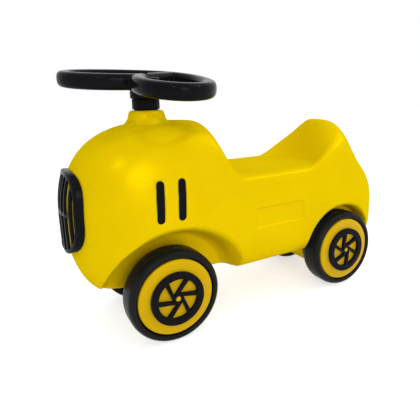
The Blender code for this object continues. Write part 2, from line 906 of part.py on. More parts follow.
def rim_skeleton():
    """The rim's centre line, closed, and the bridge from the notch to the rim's far side."""
    line = []
    for i in range(RIM_POINTS):
        angle = 2 * math.pi * i / RIM_POINTS - math.pi / 2
        radius = (
            RIM_MEAN
            + RIM_WAIST * math.cos(2 * angle)
            + RIM_CORNER * math.cos(4 * angle)
            + RIM_LEAN * math.sin(angle)
            + RIM_NOTCH * math.sin(3 * angle)
        )
        radius = math.hypot(radius, RIM_NOTCH_FLOOR)
        line.append(Vector((radius * math.cos(angle), radius * math.sin(angle))))
    starts = np.array(line + [line[0]])
    ends = np.array(line[1:] + [line[0], line[RIM_POINTS // 2]])
    return starts, ends - starts


def distance_to(pieces, point):
    starts, alongs = pieces
    shares = ((point - starts) * alongs).sum(axis=1) / (alongs**2).sum(axis=1)
    nearest = starts + np.clip(shares, 0.0, 1.0)[:, None] * alongs
    return np.sqrt(((point - nearest) ** 2).sum(axis=1)).min()


def level_loop(pieces, centre, directions, reach, depth):
    """Where rays cross the line that keeps this distance from the skeleton. Rays start at reach
    and step to the centre, or start at the centre and step out when reach is 0."""
    loop = []
    for angle in directions:
        ray = np.array((math.cos(angle), math.sin(angle)))
        step = 0.004 if reach == 0 else -0.004
        far = reach
        while distance_to(pieces, centre + (far + step) * ray) > depth:
            far += step
        low, high = far, far + step
        for _ in range(12):
            trial = (low + high) / 2
            if distance_to(pieces, centre + trial * ray) > depth:
                low = trial
            else:
                high = trial
        loop.append(centre + low * ray)
    return loop


def rim_mesh():
    """A round tube about the skeleton, as loops at a few heights: one outside, two in the holes."""
    pieces = rim_skeleton()
    outer = []
    for i in range(RIM_OUTER):
        turn = i / RIM_OUTER
        turn -= 0.5 * math.sin(2 * math.pi * turn) / (2 * math.pi)
        outer.append(2 * math.pi * turn - math.pi / 2)
    inner = [2 * math.pi * i / RIM_INNER for i in range(RIM_INNER)]
    bm = bmesh.new()
    tilts = [math.radians(t) for t in (-66, -33, 0, 33, 66)]
    caps = ([], [])
    for centre, directions, reach in (
        (np.zeros(2), outer, 0.2),
        (np.array((HOLE_CENTRE, 0.0)), inner, 0.0),
        (np.array((-HOLE_CENTRE, 0.0)), inner, 0.0),
    ):
        loops = []
        for tilt in tilts:
            depth = RIM_TUBE * math.cos(tilt)
            height = RIM_TUBE * math.sin(tilt)
            loops.append(
                [
                    bm.verts.new((x, y, height))
                    for x, y in level_loop(pieces, centre, directions, reach, depth)
                ]
            )
        for low, high in zip(loops, loops[1:]):
            for i in range(len(low)):
                j = (i + 1) % len(low)
                bm.faces.new((low[i], low[j], high[j], high[i]))
        for cap, loop in zip(caps, (loops[0], loops[-1])):
            cap += [
                bm.edges.get((loop[i], loop[(i + 1) % len(loop)]))
                for i in range(len(loop))
            ]
    for cap in caps:
        bmesh.ops.triangle_fill(bm, edges=cap, use_beauty=True)
    bmesh.ops.recalc_face_normals(bm, faces=bm.faces)
    mesh = bpy.data.meshes.new("steering_wheel")
    bm.to_mesh(mesh)
    bm.free()
    return mesh


def make_steering_wheel(parts, cutters, black):
    wheel = add_object("steering_wheel", rim_mesh(), parts, black)
    turn = Matrix.Rotation(RIM_TURN, 4, "Z")
    tilt = Matrix.Rotation(RIM_TILT, 4, "Y")
    wheel.matrix_world = Matrix.Translation((0.0, STEER_Y, RIM_Z)) @ tilt @ turn
    hub = cylinder(
        "wheel_hub", WHEEL_HUB_RADIUS, COLLAR_TOP_Z + GAP, RIM_Z + 0.006, 28, cutters
    )
    place_at(hub, (0.0, STEER_Y, 0.0))
    boolean(wheel, [hub], "UNION")
    cuts = []
    for name, radius, low, high in (
        ("cut_wheel_shaft", SHAFT_RADIUS + GAP, 0.40, SHAFT_TOP_Z + GAP),
        ("cut_wheel_screw", SCREW_RADIUS + GAP, 0.42, 0.47),
        ("cut_wheel_head", SCREW_HEAD_RADIUS + GAP, SCREW_SEAT_Z, 0.48),
    ):
        cutter = cylinder(name, radius, low, high, 20, cutters)
        cuts.append(place_at(cutter, (0.0, STEER_Y, 0.0)))
    boolean(wheel, cuts)


# Wheels


def axle_half():
    return DISC_FACE_X - DISC_WALL - 0.002


def tyre_outline():
    top = -TYRE_SETBACK
    base = top - TYRE_WIDTH
    radius = WHEEL_RADIUS
    outline = [
        (TYRE_BORE, top),
        (radius - SHOULDER, top),
        (radius - 0.3 * SHOULDER, top - 0.3 * SHOULDER),
        (radius, top - SHOULDER),
    ]
    for share in (0.38, 0.62):
        middle = top - TYRE_WIDTH * share
        outline += [
            (radius, middle + GROOVE_WIDTH / 2),
            (radius - GROOVE_DEPTH, middle),
            (radius, middle - GROOVE_WIDTH / 2),
        ]
    outline += [
        (radius, base + SHOULDER),
        (radius - 0.3 * SHOULDER, base + 0.3 * SHOULDER),
        (radius - SHOULDER, base),
        (TYRE_BORE, base),
    ]
    return outline


def core_outline(hub_base):
    bore = AXLE_RADIUS + RUN
    rim = TYRE_BORE - GAP
    front = -DISC_DEPTH - GAP
    back = -TYRE_SETBACK - TYRE_WIDTH
    web = -WEB_DEPTH
    return [
        (bore, web),
        (rim - CORE_WALL, web),
        (rim - CORE_WALL, front),
        (rim, front),
        (rim, back),
        (rim - CORE_WALL, back),
        (rim - CORE_WALL, web - CORE_WEB),
        (HUB_RADIUS, web - CORE_WEB),
        (HUB_RADIUS, hub_base),
        (bore, hub_base),
    ]


def disc_outline():
    return [
        (0.0, NUB_HEIGHT),
        (NUB_RADIUS, NUB_HEIGHT),
        (NUB_RADIUS, 0.0),
        (DISC_RADIUS - 0.001, 0.0),
        (DISC_RADIUS, -0.0012),
        (DISC_RADIUS, -DISC_DEPTH),
        (DISC_RADIUS - DISC_WALL, -DISC_DEPTH),
        (DISC_RADIUS - DISC_WALL, -DISC_WALL),
        (0.0, -DISC_WALL),
    ]


def trim_outlines(turn):
    """The black pinwheel: a disc with a centre hole and a window between each two spokes."""
    steps = 32
    outer = [
        (
            TRIM_RADIUS * math.cos(2 * math.pi * i / steps),
            TRIM_RADIUS * math.sin(2 * math.pi * i / steps),
        )
        for i in range(steps)
    ]
    hole = [
        (
            TRIM_HUB * math.cos(2 * math.pi * i / 12),
            TRIM_HUB * math.sin(2 * math.pi * i / 12),
        )
        for i in range(12)
    ]
    radius = TRIM_RADIUS - TRIM_RING
    sector = 2 * math.pi / TRIM_SPOKES
    far = SPOKE_OFFSET + SPOKE_WIDTH / 2
    near = SPOKE_OFFSET - SPOKE_WIDTH / 2
    windows = []
    for spoke in range(TRIM_SPOKES):
        start = turn + spoke * sector
        first = start + math.asin(far / radius)
        last = start + sector + math.asin(near / radius)
        arc_points = [
            (
                radius * math.cos(first + (last - first) * i / 5),
                radius * math.sin(first + (last - first) * i / 5),
            )
            for i in range(6)
        ]
        lean = (near - far * math.cos(sector)) / math.sin(sector)
        u = Vector((math.cos(start), math.sin(start)))
        n = Vector((-math.sin(start), math.cos(start)))
        corner = n * far - u * lean
        windows.append(arc_points + [tuple(corner)])
    return [outer, hole] + windows


def make_wheel(tag, side, axle_y, turn, parts, materials):
    yellow, black, rubber, steel = materials
    centre = (side * DISC_FACE_X, axle_y, WHEEL_RADIUS)
    hub_base = -(DISC_FACE_X - REAR_SPINE_HALF - WASHER_THICK - 2 * GAP)
    pieces = [
        turned(f"tyre_{tag}", tyre_outline(), ROUND_SEGMENTS, parts, rubber),
        turned(f"wheel_core_{tag}", core_outline(hub_base), ROUND_SEGMENTS, parts, black),
        turned(
            f"wheel_disc_{tag}",
            disc_outline(),
            ROUND_SEGMENTS,
            parts,
            yellow,
            solid=True,
        ),
    ]
    cap_base = -WEB_DEPTH + GAP
    cap = turned(
        f"axle_cap_{tag}",
        [
            (0.0, cap_base + CAP_THICK + 0.002),
            (AXLE_RADIUS + GAP + 0.001, cap_base + CAP_THICK + 0.002),
            (CAP_RADIUS, cap_base + CAP_THICK),
            (CAP_RADIUS, cap_base),
            (AXLE_RADIUS + GAP, cap_base),
            (AXLE_RADIUS + GAP, cap_base + CAP_THICK + 0.001),
            (0.0, cap_base + CAP_THICK + 0.001),
        ],
        SMALL_SEGMENTS,
        parts,
        steel,
        solid=True,
    )
    washer = ring(
        f"axle_washer_{tag}",
        AXLE_RADIUS + GAP,
        WASHER_RADIUS,
        hub_base - GAP - WASHER_THICK,
        hub_base - GAP,
        SMALL_SEGMENTS,
        parts,
        steel,
    )
    pieces += [cap, washer]
    for piece in pieces:
        place_at(piece, centre, outward(side))
    trim = plate(f"hub_trim_{tag}", trim_outlines(turn), TRIM_THICK / 2, parts, black)
    face = side * (DISC_FACE_X + GAP + TRIM_THICK / 2)
    place_at(trim, (face, axle_y, WHEEL_RADIUS), outward(side))


def main():
    clear_scene()
    parts = make_collection("ride_on_car")
    cutters = make_collection("cutters", helpers=True)
    yellow = make_material("yellow_plastic", (0.83, 0.66, 0.0), 0.32)
    black = make_material("black_plastic", (0.012, 0.012, 0.014), 0.25)
    rubber = make_material("black_tyre", (0.02, 0.02, 0.021), 0.45)
    steel = make_material("zinc_steel", (0.62, 0.63, 0.65), 0.35, 1.0)
    make_body(parts, cutters, yellow)
    make_grille(parts, cutters, black)
    make_slots(parts, black)
    flange_base = make_bushes(parts, black)
    make_carrier(parts, cutters, black, flange_base)
    make_column(parts, cutters, steel, black)
    make_steering_wheel(parts, cutters, black)
    rear_axle = cylinder(
        "rear_axle",
        AXLE_RADIUS,
        -axle_half(),
        axle_half(),
        SMALL_SEGMENTS,
        parts,
        steel,
    )
    place_at(rear_axle, (0.0, WHEELBASE / 2, WHEEL_RADIUS), outward(1))
    materials = (yellow, black, rubber, steel)
    ends = zip(("front", "rear"), (-WHEELBASE / 2, WHEELBASE / 2), TRIM_TURNS)
    for end, axle_y, turn in ends:
        for side, word in ((1, "left"), (-1, "right")):
            make_wheel(f"{end}_{word}", side, axle_y, turn, parts, materials)
    for obj in bpy.data.objects:
        obj.location -= Vector((MIDDLE_X, MIDDLE_Y, 0.0))


main()
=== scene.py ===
"""Scoot-along ride-on toy car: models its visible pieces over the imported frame.

Metres, +Z up. The front of the car faces -Y and its left side is +X.
"""

import json
import math

import bpy
from mathutils import Matrix, Vector


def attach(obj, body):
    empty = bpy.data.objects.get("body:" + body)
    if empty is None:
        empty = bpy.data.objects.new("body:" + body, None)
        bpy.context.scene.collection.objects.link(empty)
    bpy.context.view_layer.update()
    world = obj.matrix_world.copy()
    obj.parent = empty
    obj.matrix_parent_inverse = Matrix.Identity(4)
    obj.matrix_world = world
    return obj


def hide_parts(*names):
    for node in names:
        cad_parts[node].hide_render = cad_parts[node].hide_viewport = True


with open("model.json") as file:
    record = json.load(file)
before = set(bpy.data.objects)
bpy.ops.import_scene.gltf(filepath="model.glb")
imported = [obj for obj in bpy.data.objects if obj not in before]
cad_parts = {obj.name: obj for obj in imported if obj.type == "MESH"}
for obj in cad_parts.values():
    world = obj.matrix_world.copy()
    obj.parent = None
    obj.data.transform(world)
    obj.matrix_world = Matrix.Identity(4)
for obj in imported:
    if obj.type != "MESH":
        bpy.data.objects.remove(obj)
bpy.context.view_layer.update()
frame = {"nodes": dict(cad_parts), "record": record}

bl_info = {
    "name": "Ride-on Car Pieces",
    "version": (1, 0, 0),
    "blender": (4, 5, 0),
    "location": "View3D > Sidebar > Ride-on Car",
    "description": "Models the visible pieces of a scoot-along toy car over its frame",
    "category": "Object",
}

# Shapes are set from the floor, the centre plane and midway between the axles. The frame's origin
# lies here from that, under the middle of the car's outline.
MIDDLE = Vector((0.0140, -0.0098, 0.0))
GAP = 0.0003
MERGE_DISTANCE = 0.00001
THROUGH = (-0.01, 0.02)
STEER_Y = -0.193
UPPER_BORE_RADIUS = 0.0133
LOWER_BORE_RADIUS = 0.0115
# Length, width and corner radius of the space for the axle carrier
POCKET = (0.100, 0.092, 0.006)
POCKET_TOP_Z = 0.125
COLLAR_RADIUS = 0.0240
COLLAR_BORE = 0.0078
COLLAR_Z = (0.3957, 0.4135)
HUB_RADIUS = 0.0266
HUB_BASE_Z = 0.4136
SLOT_Y = (-0.2125, -0.1748)
SLOT_Z = 0.2495
SLOT_LENGTH = 0.0715
SLOT_WIDTH = 0.0128
SLOT_LEAN = math.radians(2.4)
SLOT_DEPTH = 0.0040
SLOT_CLEARANCE = 0.0008
INSERT_BELOW = (-0.0022, -0.0004)
FRONT_ARCH_STRETCH = 1.12
REAR_ARCH = (
    (0.0, 0.20), (0.108, 0.20), (0.104, 0.1060),
    (0.0985, 0.1020), (0.0955, 0.096), (0.0940, 0.088),
    (0.0940, 0.058), (0.0, 0.058),
)
PANEL_LENGTH = 0.113
PANEL_HEIGHT = 0.036
PANEL_CORNER = 0.004
PANEL_FLOOR_X = 0.1025
PANEL_CENTRE = (0.0285, 0.1905)
PANEL_FLARE = (1.062, 1.19)
GRILLE_Z = 0.2345
TRIM_TOP = 0.0065
HUB_HOLE_RADIUS = 0.0052
TRIM_TURNS = {"front": math.radians(20), "rear": math.radians(-7)}
AXLE_Y = 0.197
WHEEL_Z = 0.0825
DISC_FACE_X = 0.1126
# Name, place, aim, size and power in watts
LAMPS = (
    ("key_light", (2.1, -0.3, 0.80), (0.0, 0.0, 0.18), 1.0, 9.5),
    ("top_light", (0.6, 0.9, 2.2), (0.0, 0.0, 0.2), 0.9, 3.0),
    ("lip_light", (0.98, 1.33, 1.81), (0.0, 0.0, 0.25), 0.35, 4.0),
    ("small_light", (1.5, -1.2, 1.6), (0.0, 0.0, 0.2), 0.22, 3.0),
)
CAMERA_PLACE = Vector((0.702, -0.426, 0.422))
CAMERA_TURNS = (-58.78, -12.33, -0.87)
CAMERA_LENS = 34.28
CAMERA_SHIFT = -0.0714
FLOOR_RADIUS = 9.0
FLOOR_LIGHT = 0.80
FLOOR_GLOW = 0.62
WORLD_LEVEL = 0.68
CORNERS = (
    ("front_left", 1, -AXLE_Y),
    ("front_right", -1, -AXLE_Y),
    ("rear_left", 1, AXLE_Y),
    ("rear_right", -1, AXLE_Y),
)


# Settings


class CarBodySettings(bpy.types.PropertyGroup):
    """Sizes of the moulded body."""

    hood_top: bpy.props.FloatProperty(
        name="Hood top", description="Height of the hood", default=0.375, unit="LENGTH"
    )
    seat_top: bpy.props.FloatProperty(
        name="Seat top", description="Height of the seat", default=0.274, unit="LENGTH"
    )
    back_top: bpy.props.FloatProperty(
        name="Backrest top",
        description="Height of the backrest's crest",
        default=0.360,
        unit="LENGTH",
    )
    half_width: bpy.props.FloatProperty(
        name="Half width",
        description="Half the body's width",
        default=0.105,
        unit="LENGTH",
    )
    grain: bpy.props.FloatProperty(
        name="Skin cell",
        description="Size of the cells that the moulded skin is made of",
        default=0.0023,
        unit="LENGTH",
    )
    softening: bpy.props.IntProperty(
        name="Softening", description="Smoothing passes over the edges", default=7
    )
    kept: bpy.props.FloatProperty(
        name="Kept share",
        description="Share of the skin's faces that are kept after smoothing",
        default=0.62,
        subtype="FACTOR",
    )


class CarSteeringSettings(bpy.types.PropertyGroup):
    """Sizes of the steering wheel."""

    rim_height: bpy.props.FloatProperty(
        name="Rim height",
        description="Height of the rim's centre line at the column",
        default=0.4435,
        unit="LENGTH",
    )
    rim_half: bpy.props.FloatProperty(
        name="Rim half thickness",
        description="Half the thickness of the rim",
        default=0.0138,
        unit="LENGTH",
    )
    turn: bpy.props.FloatProperty(
        name="Turn",
        description="How far the wheel sits turned on its column",
        default=math.radians(34),
        unit="ROTATION",
    )
    tilt: bpy.props.FloatProperty(
        name="Tilt",
        description="How far the wheel leans to the left",
        default=math.radians(7.3),
        unit="ROTATION",
    )


class CarWheelSettings(bpy.types.PropertyGroup):
    """Sizes of the road wheels."""

    trim_radius: bpy.props.FloatProperty(
        name="Trim radius",
        description="Radius of the black hub trim",
        default=0.0475,
        unit="LENGTH",
    )
    trim_ring: bpy.props.FloatProperty(
        name="Trim ring",
        description="Width of the trim's outer ring",
        default=0.0120,
        unit="LENGTH",
    )
    spokes: bpy.props.IntProperty(
        name="Spokes", description="Spokes of the hub trim", default=6
    )
    segments: bpy.props.IntProperty(
        name="Segments", description="Steps round a wheel", default=128
    )


class CarFinishSettings(bpy.types.PropertyGroup):
    """Colours of the materials."""

    body_yellow: bpy.props.FloatVectorProperty(
        name="Body yellow",
        description="Colour of the moulded body",
        subtype="COLOR",
        default=(0.86, 0.605, 0.0010),
    )
    disc_yellow: bpy.props.FloatVectorProperty(
        name="Disc yellow",
        description="Colour of the wheel discs",
        subtype="COLOR",
        default=(0.74, 0.46, 0.0015),
    )
    trim_black: bpy.props.FloatVectorProperty(
        name="Trim black",
        description="Colour of the black plastic",
        subtype="COLOR",
        default=(0.0040, 0.0040, 0.0055),
    )
    tyre_black: bpy.props.FloatVectorProperty(
        name="Tyre black",
        description="Colour of the tyres",
        subtype="COLOR",
        default=(0.0060, 0.0065, 0.0060),
    )
    zinc: bpy.props.FloatVectorProperty(
        name="Zinc",
        description="Colour of the plated steel",
        subtype="COLOR",
        default=(0.56, 0.57, 0.59),
    )


# Selecting and modifying


def select_only(obj):
    bpy.ops.object.select_all(action="DESELECT")
    obj.select_set(True)
    bpy.context.view_layer.objects.active = obj


def settle(obj):
    """Puts the object's place into its mesh."""
    select_only(obj)
    bpy.ops.object.transform_apply(location=True, rotation=True, scale=True)


def modify(obj, kind, **values):
    modifier = obj.modifiers.new(kind.lower(), kind)
    for name, value in values.items():
        setattr(modifier, name, value)
    select_only(obj)
    bpy.ops.object.modifier_apply(modifier=modifier.name)


def combine(obj, others, operation="DIFFERENCE"):
    for other in others:
        modify(obj, "BOOLEAN", operation=operation, solver="EXACT", object=other)
        bpy.data.objects.remove(other, do_unlink=True)


def soften(obj, cell, passes):
    """Remakes the mesh in even cells and rounds every edge, as a moulded skin has them."""
    modify(obj, "REMESH", mode="VOXEL", voxel_size=cell, use_smooth_shade=True)
    modify(obj, "SMOOTH", factor=0.5, iterations=passes)
    select_only(obj)
    bpy.ops.object.shade_smooth()


def finish_piece(obj, body, nodes, material):
    obj.location -= MIDDLE
    settle(obj)
    obj.data.materials.clear()
    obj.data.materials.append(material)
    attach(obj, body)
    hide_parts(*nodes)


def repair_faces(obj):
    select_only(obj)
    bpy.ops.object.mode_set(mode="EDIT")
    bpy.ops.mesh.select_all(action="SELECT")
    bpy.ops.mesh.remove_doubles(threshold=MERGE_DISTANCE)
    bpy.ops.mesh.normals_make_consistent(inside=False)
    bpy.ops.object.mode_set(mode="OBJECT")


def drop_slivers(obj):
    """Closes edges and faces that are too small to see, and leaves the mesh closed."""
    select_only(obj)
    bpy.ops.object.mode_set(mode="EDIT")
    bpy.ops.mesh.select_all(action="SELECT")
    bpy.ops.mesh.dissolve_degenerate(threshold=0.000005)
    bpy.ops.object.mode_set(mode="OBJECT")


# Shapes


def prism(name, outline, low, high, place=None, flare=None):
    """A flat outline in local XY, extruded from one height to another, where it can be larger."""
    bpy.ops.object.select_all(action="DESELECT")
    bpy.ops.mesh.primitive_circle_add(vertices=len(outline), radius=0.01, fill_type="NGON")
    obj = bpy.context.object
    obj.name = name
    for vertex, (x, y) in zip(obj.data.vertices, outline):
        vertex.co = (x, y, low)
    bpy.ops.object.mode_set(mode="EDIT")
    bpy.ops.mesh.select_all(action="SELECT")
    bpy.ops.mesh.extrude_region_move(TRANSFORM_OT_translate={"value": (0, 0, high - low)})
    if flare is not None:
        bpy.ops.transform.resize(value=(*flare, 1.0))
    bpy.ops.mesh.select_all(action="SELECT")
    bpy.ops.mesh.normals_make_consistent(inside=False)
    bpy.ops.object.mode_set(mode="OBJECT")
    if place is not None:
        obj.matrix_world = place
        settle(obj)
    return obj


def turned(name, profile, segments, place, closed=True):
    """A profile of (radius, height) turned about local Z.

    An open profile starts and ends on the axis.
    """
    bpy.ops.object.select_all(action="DESELECT")
    bpy.ops.mesh.primitive_circle_add(vertices=len(profile), radius=0.01)
    obj = bpy.context.object
    obj.name = name
    for vertex, (radius, height) in zip(obj.data.vertices, profile):
        vertex.co = (radius, 0.0, height)
    bpy.ops.object.mode_set(mode="EDIT")
    if not closed:
        bpy.ops.mesh.select_all(action="DESELECT")
        bpy.ops.object.mode_set(mode="OBJECT")
        ends = {0, len(profile) - 1}
        for edge in obj.data.edges:
            edge.select = set(edge.vertices) == ends
        bpy.ops.object.mode_set(mode="EDIT")
        bpy.ops.mesh.select_mode(type="EDGE")
        bpy.ops.mesh.delete(type="EDGE_FACE")
        bpy.ops.mesh.select_mode(type="VERT")
    bpy.ops.mesh.select_all(action="SELECT")
    bpy.ops.mesh.spin(
        steps=segments, angle=2 * math.pi, center=(0, 0, 0), axis=(0, 0, 1)
    )
    bpy.ops.mesh.select_all(action="SELECT")
    bpy.ops.mesh.remove_doubles(threshold=MERGE_DISTANCE)
    bpy.ops.mesh.normals_make_consistent(inside=False)
    bpy.ops.object.mode_set(mode="OBJECT")
    obj.matrix_world = place
    settle(obj)
    return obj


def cylinder(name, radius, low, high, place, segments=64):
    profile = [(0.0, high), (radius, high), (radius, low), (0.0, low)]
    return turned(name, profile, segments, place, closed=False)


def circle_points(radius, count):
    return [
        (
            radius * math.cos(2 * math.pi * i / count),
            radius * math.sin(2 * math.pi * i / count),
        )
        for i in range(count)
    ]


def stadium(length, width, steps=10):
    """A slot outline with round ends, its length along local X."""
    straight = (length - width) / 2
    points = []
    for side in (1, -1):
        for i in range(steps + 1):
            angle = -math.pi / 2 + math.pi * i / steps + (0 if side > 0 else math.pi)
            x = side * straight + width / 2 * math.cos(angle)
            points.append((x, width / 2 * math.sin(angle)))
    return points


def rounded_rectangle(length, height, corner, steps=6):
    points = []
    for quarter, (sx, sy) in enumerate(((1, 1), (-1, 1), (-1, -1), (1, -1))):
        for i in range(steps + 1):
            angle = math.pi / 2 * (quarter + i / steps)
            x = sx * (length / 2 - corner) + corner * math.cos(angle)
            points.append((x, sy * (height / 2 - corner) + corner * math.sin(angle)))
    return points


def bulged(share, power):
    """Turns a sine or cosine into a coordinate of a superellipse."""
    return math.copysign(abs(share) ** (2 / power), share)


def superellipse(half_x, half_y, power, count):
    points = []
    for i in range(count):
        angle = 2 * math.pi * i / count
        x = half_x * bulged(math.cos(angle), power)
        points.append((x, half_y * bulged(math.sin(angle), power)))
    return points


def frame_of(right, up, out, origin):
    """The matrix whose local X, Y and Z are these directions."""
    matrix = Matrix((right, up, out)).transposed().to_4x4()
    matrix.translation = Vector(origin)
    return matrix


def wheel_frame(side, axle_y, offset=0.0):
    """Local Z points out of the car's side from the disc's face, and local X up."""
    out = Vector((side, 0, 0))
    up = Vector((0, 0, 1))
    return frame_of(up, out.cross(up), out, (side * (DISC_FACE_X + offset), axle_y, WHEEL_Z))


# Body surface


def arc(share, power):
    """Height share of a superellipse quarter at a share of its length."""
    share = min(max(share, 0.0), 1.0)
    return (1.0 - share**power) ** (1.0 / power)


def soft_max(a, b, blend):
    near = max(blend - abs(a - b), 0.0) / blend
    return max(a, b) + near * near * blend / 4


def soft_min(a, b, blend):
    return -soft_max(-a, -b, blend)


class BodySurface:
    """The moulded body's outer surface, as heights over the plan."""

    nose_y = -0.3445
    tail_y = 0.333
    waist_z = 0.200
    nose_z = 0.210
    tail_z = 0.155
    bottom_z = 0.086
    hood_front_y = -0.160
    hood_face_y = -0.073
    hood_face_bow = -0.010
    hood_face_lean = 0.42
    face_z = 0.310
    back_y = 0.216
    back_waist = 0.19
    back_face_y = 0.176
    back_face_bow = -0.006
    back_face_lean = 0.36
    wing_lean = 1.40
    hood_blend = 0.050
    seat_blend = 0.014
    edge_blend = 0.030
    lip_radius = 0.022
    belly_front_y = -0.250
    belly_rear_y = 0.260
    plan_front_y = -0.200
    plan_rear_y = 0.230

    def __init__(self, settings):
        self.hood_top = settings.hood_top
        self.seat_top = settings.seat_top
        self.back_top = settings.back_top
        self.half = settings.half_width

    def half_width(self, y):
        front = arc((self.plan_front_y - y) / (self.plan_front_y - self.nose_y), 2.3)
        rear = arc((y - self.plan_rear_y) / (self.tail_y - self.plan_rear_y), 2.5)
        return self.half * front * rear

    def middle(self, y):
        if y < self.plan_front_y:
            share = (self.plan_front_y - y) / (self.plan_front_y - self.nose_y)
            return self.waist_z + (self.nose_z - self.waist_z) * share**2
        share = max(y / self.tail_y, 0.0)
        return self.waist_z + (self.tail_z - self.waist_z) * share**2

    def envelope(self, x, y):
        length = self.back_y - self.hood_front_y
        along = min(max((y - self.hood_front_y) / length, 0.0), 1.0)
        crown = self.hood_top + (self.back_top - self.hood_top) * along
        front = arc((self.hood_front_y - y) / (self.hood_front_y - self.nose_y), 2.7)
        share = min(max((y - self.back_y) / (self.tail_y - self.back_y), 0.0), 1.0)
        rear = arc(share, 1.5) - self.back_waist * math.sin(math.pi * share**0.8) ** 2
        across = arc(abs(x) / max(self.half_width(y), 1e-9), 3.0 - 0.15 * along)
        middle = self.middle(y)
        return middle + (crown - middle) * front * rear * across

    def saddle(self, x, y):
        share = abs(x) / self.half
        hood_y = self.hood_face_y + self.hood_face_bow * share**2
        back_y = self.back_face_y + self.back_face_bow * share**2
        hood = self.face_z + (hood_y - y) / self.hood_face_lean
        lean = self.back_face_lean + self.wing_lean * share**2
        back = self.face_z + (y - back_y) / lean
        floor = soft_max(hood, self.seat_top, self.hood_blend)
        edge = min(max(abs(x) - self.half_width(y) + self.lip_radius, 0.0), self.lip_radius)
        rolled = self.lip_radius - math.sqrt(self.lip_radius**2 - edge**2)
        return soft_max(floor, back, self.seat_blend) - rolled

    def top(self, x, y):
        envelope = self.envelope(x, y)
        scoop = self.saddle(x, y)
        if scoop > envelope + self.edge_blend or envelope < self.middle(y) + 0.01:
            return envelope
        return max(soft_min(envelope, scoop, self.edge_blend), self.middle(y))

    def bottom(self, x, y):
        front = arc((self.belly_front_y - y) / (self.belly_front_y - self.nose_y), 2.7)
        rear = arc((y - self.belly_rear_y) / (self.tail_y - self.belly_rear_y), 2.5)
        across = arc(abs(x) / max(self.half_width(y), 1e-9), 5.0)
        middle = self.middle(y)
        return middle - (middle - self.bottom_z) * front * rear * across

    def side(self, y, z):
        """The side's distance from the centre plane at a height above the waist."""
        low, high = 0.0, self.half_width(y)
        for _ in range(40):
            trial = (low + high) / 2
            if self.top(trial, y) > z:
                low = trial
            else:
                high = trial
        return low

    def nose(self, x, z):
        """Where the nose's surface lies along Y."""
        outside, inside = self.nose_y, self.plan_front_y
        for _ in range(18):
            trial = (outside + inside) / 2
            wide = self.half_width(trial) > abs(x)
            if wide and self.bottom(x, trial) < z < self.top(x, trial):
                inside = trial
            else:
                outside = trial
        return inside

    def place(self, along, around):
        """A point of the surface. Along runs from 0 at the nose to 1 at the tail, and around is an
        angle that starts at the left side and passes over the top."""
        y = self.nose_y + (self.tail_y - self.nose_y) * along
        width = self.half_width(y)
        x = width * bulged(math.cos(around), 2.6)
        if math.sin(around) >= 0:
            return Vector((x, y, self.top(x, y)))
        return Vector((x, y, self.bottom(x, y)))


# Body


def body_blank(surface):
    """A sphere, its poles at nose and tail, drawn out to the body's surface."""
    bpy.ops.object.select_all(action="DESELECT")
    bpy.ops.mesh.primitive_uv_sphere_add(segments=160, ring_count=200, radius=1.0)
    obj = bpy.context.object
    for vertex in obj.data.vertices:
        polar = math.acos(min(max(vertex.co.z, -1.0), 1.0))
        around = math.atan2(vertex.co.y, vertex.co.x)
        along = (1 - math.cos(polar)) / 2
        if abs(vertex.co.z) > 0.99999:
            ends_z = surface.nose_z if along < 0.5 else surface.tail_z
            ends_y = surface.nose_y if along < 0.5 else surface.tail_y
            vertex.co = (0.0, ends_y, ends_z)
        else:
            vertex.co = surface.place(along, around)
    repair_faces(obj)
    return obj


def neck_profile(hood_top):
    return [
        (0.0, 0.3940), (0.0262, 0.3940), (0.0290, 0.3932),
        (0.0308, 0.3913), (0.0315, 0.3880), (0.0340, 0.3785),
        (0.0352, 0.3762),
        (0.0375, hood_top - 0.0003),
        (0.0385, hood_top - 0.0020),
        (0.0385, hood_top - 0.03),
        (0.0, hood_top - 0.03),
    ]


def front_housing(side):
    """The space round a front wheel, turned about the wheel's side direction."""
    outline = [
        (0.0, 0.20), (0.142, 0.20), (0.138, 0.1070),
        (0.1300, 0.1035), (0.1250, 0.099), (0.1225, 0.092),
        (0.1195, 0.082), (0.1120, 0.048), (0.104, 0.036),
        (0.0, 0.036),
    ]
    centre = (0.0, -0.187, 0.070)
    place = frame_of((0, FRONT_ARCH_STRETCH, 0), (0, 0, side), (side, 0, 0), centre)
    return turned("front_housing", outline, 96, place, closed=False)


def rear_boss():
    """The block under the tail that holds the rear axle."""
    outline = []
    for i in range(33):
        angle = math.pi * i / 32
        along = 0.075 * bulged(math.cos(angle), 3)
        outline.append((along, -0.052 * bulged(math.sin(angle), 3)))
    outline += [(-0.075, 0.04), (0.075, 0.04)]
    place = frame_of((0, 1, 0), (0, 0, 1), (1, 0, 0), (0.0, AXLE_Y, 0.092))
    return prism("rear_boss", outline, -0.068, 0.068, place)


def slot_frame(surface, side, slot_y):
    """Local X runs up the side wall and local Z out of it."""
    half = SLOT_LENGTH / 2
    high = surface.side(slot_y, SLOT_Z + half)
    low = surface.side(slot_y, SLOT_Z - half)
    up = Vector((side * (high - low), 0.0, SLOT_LENGTH)).normalized()
    out = Vector((up.z * side, 0.0, -up.x * side)).normalized()
    up = up * math.cos(SLOT_LEAN) + Vector((0.0, math.sin(SLOT_LEAN), 0.0))
    return frame_of(up, out.cross(up), out, (side * (high + low) / 2, slot_y, SLOT_Z))


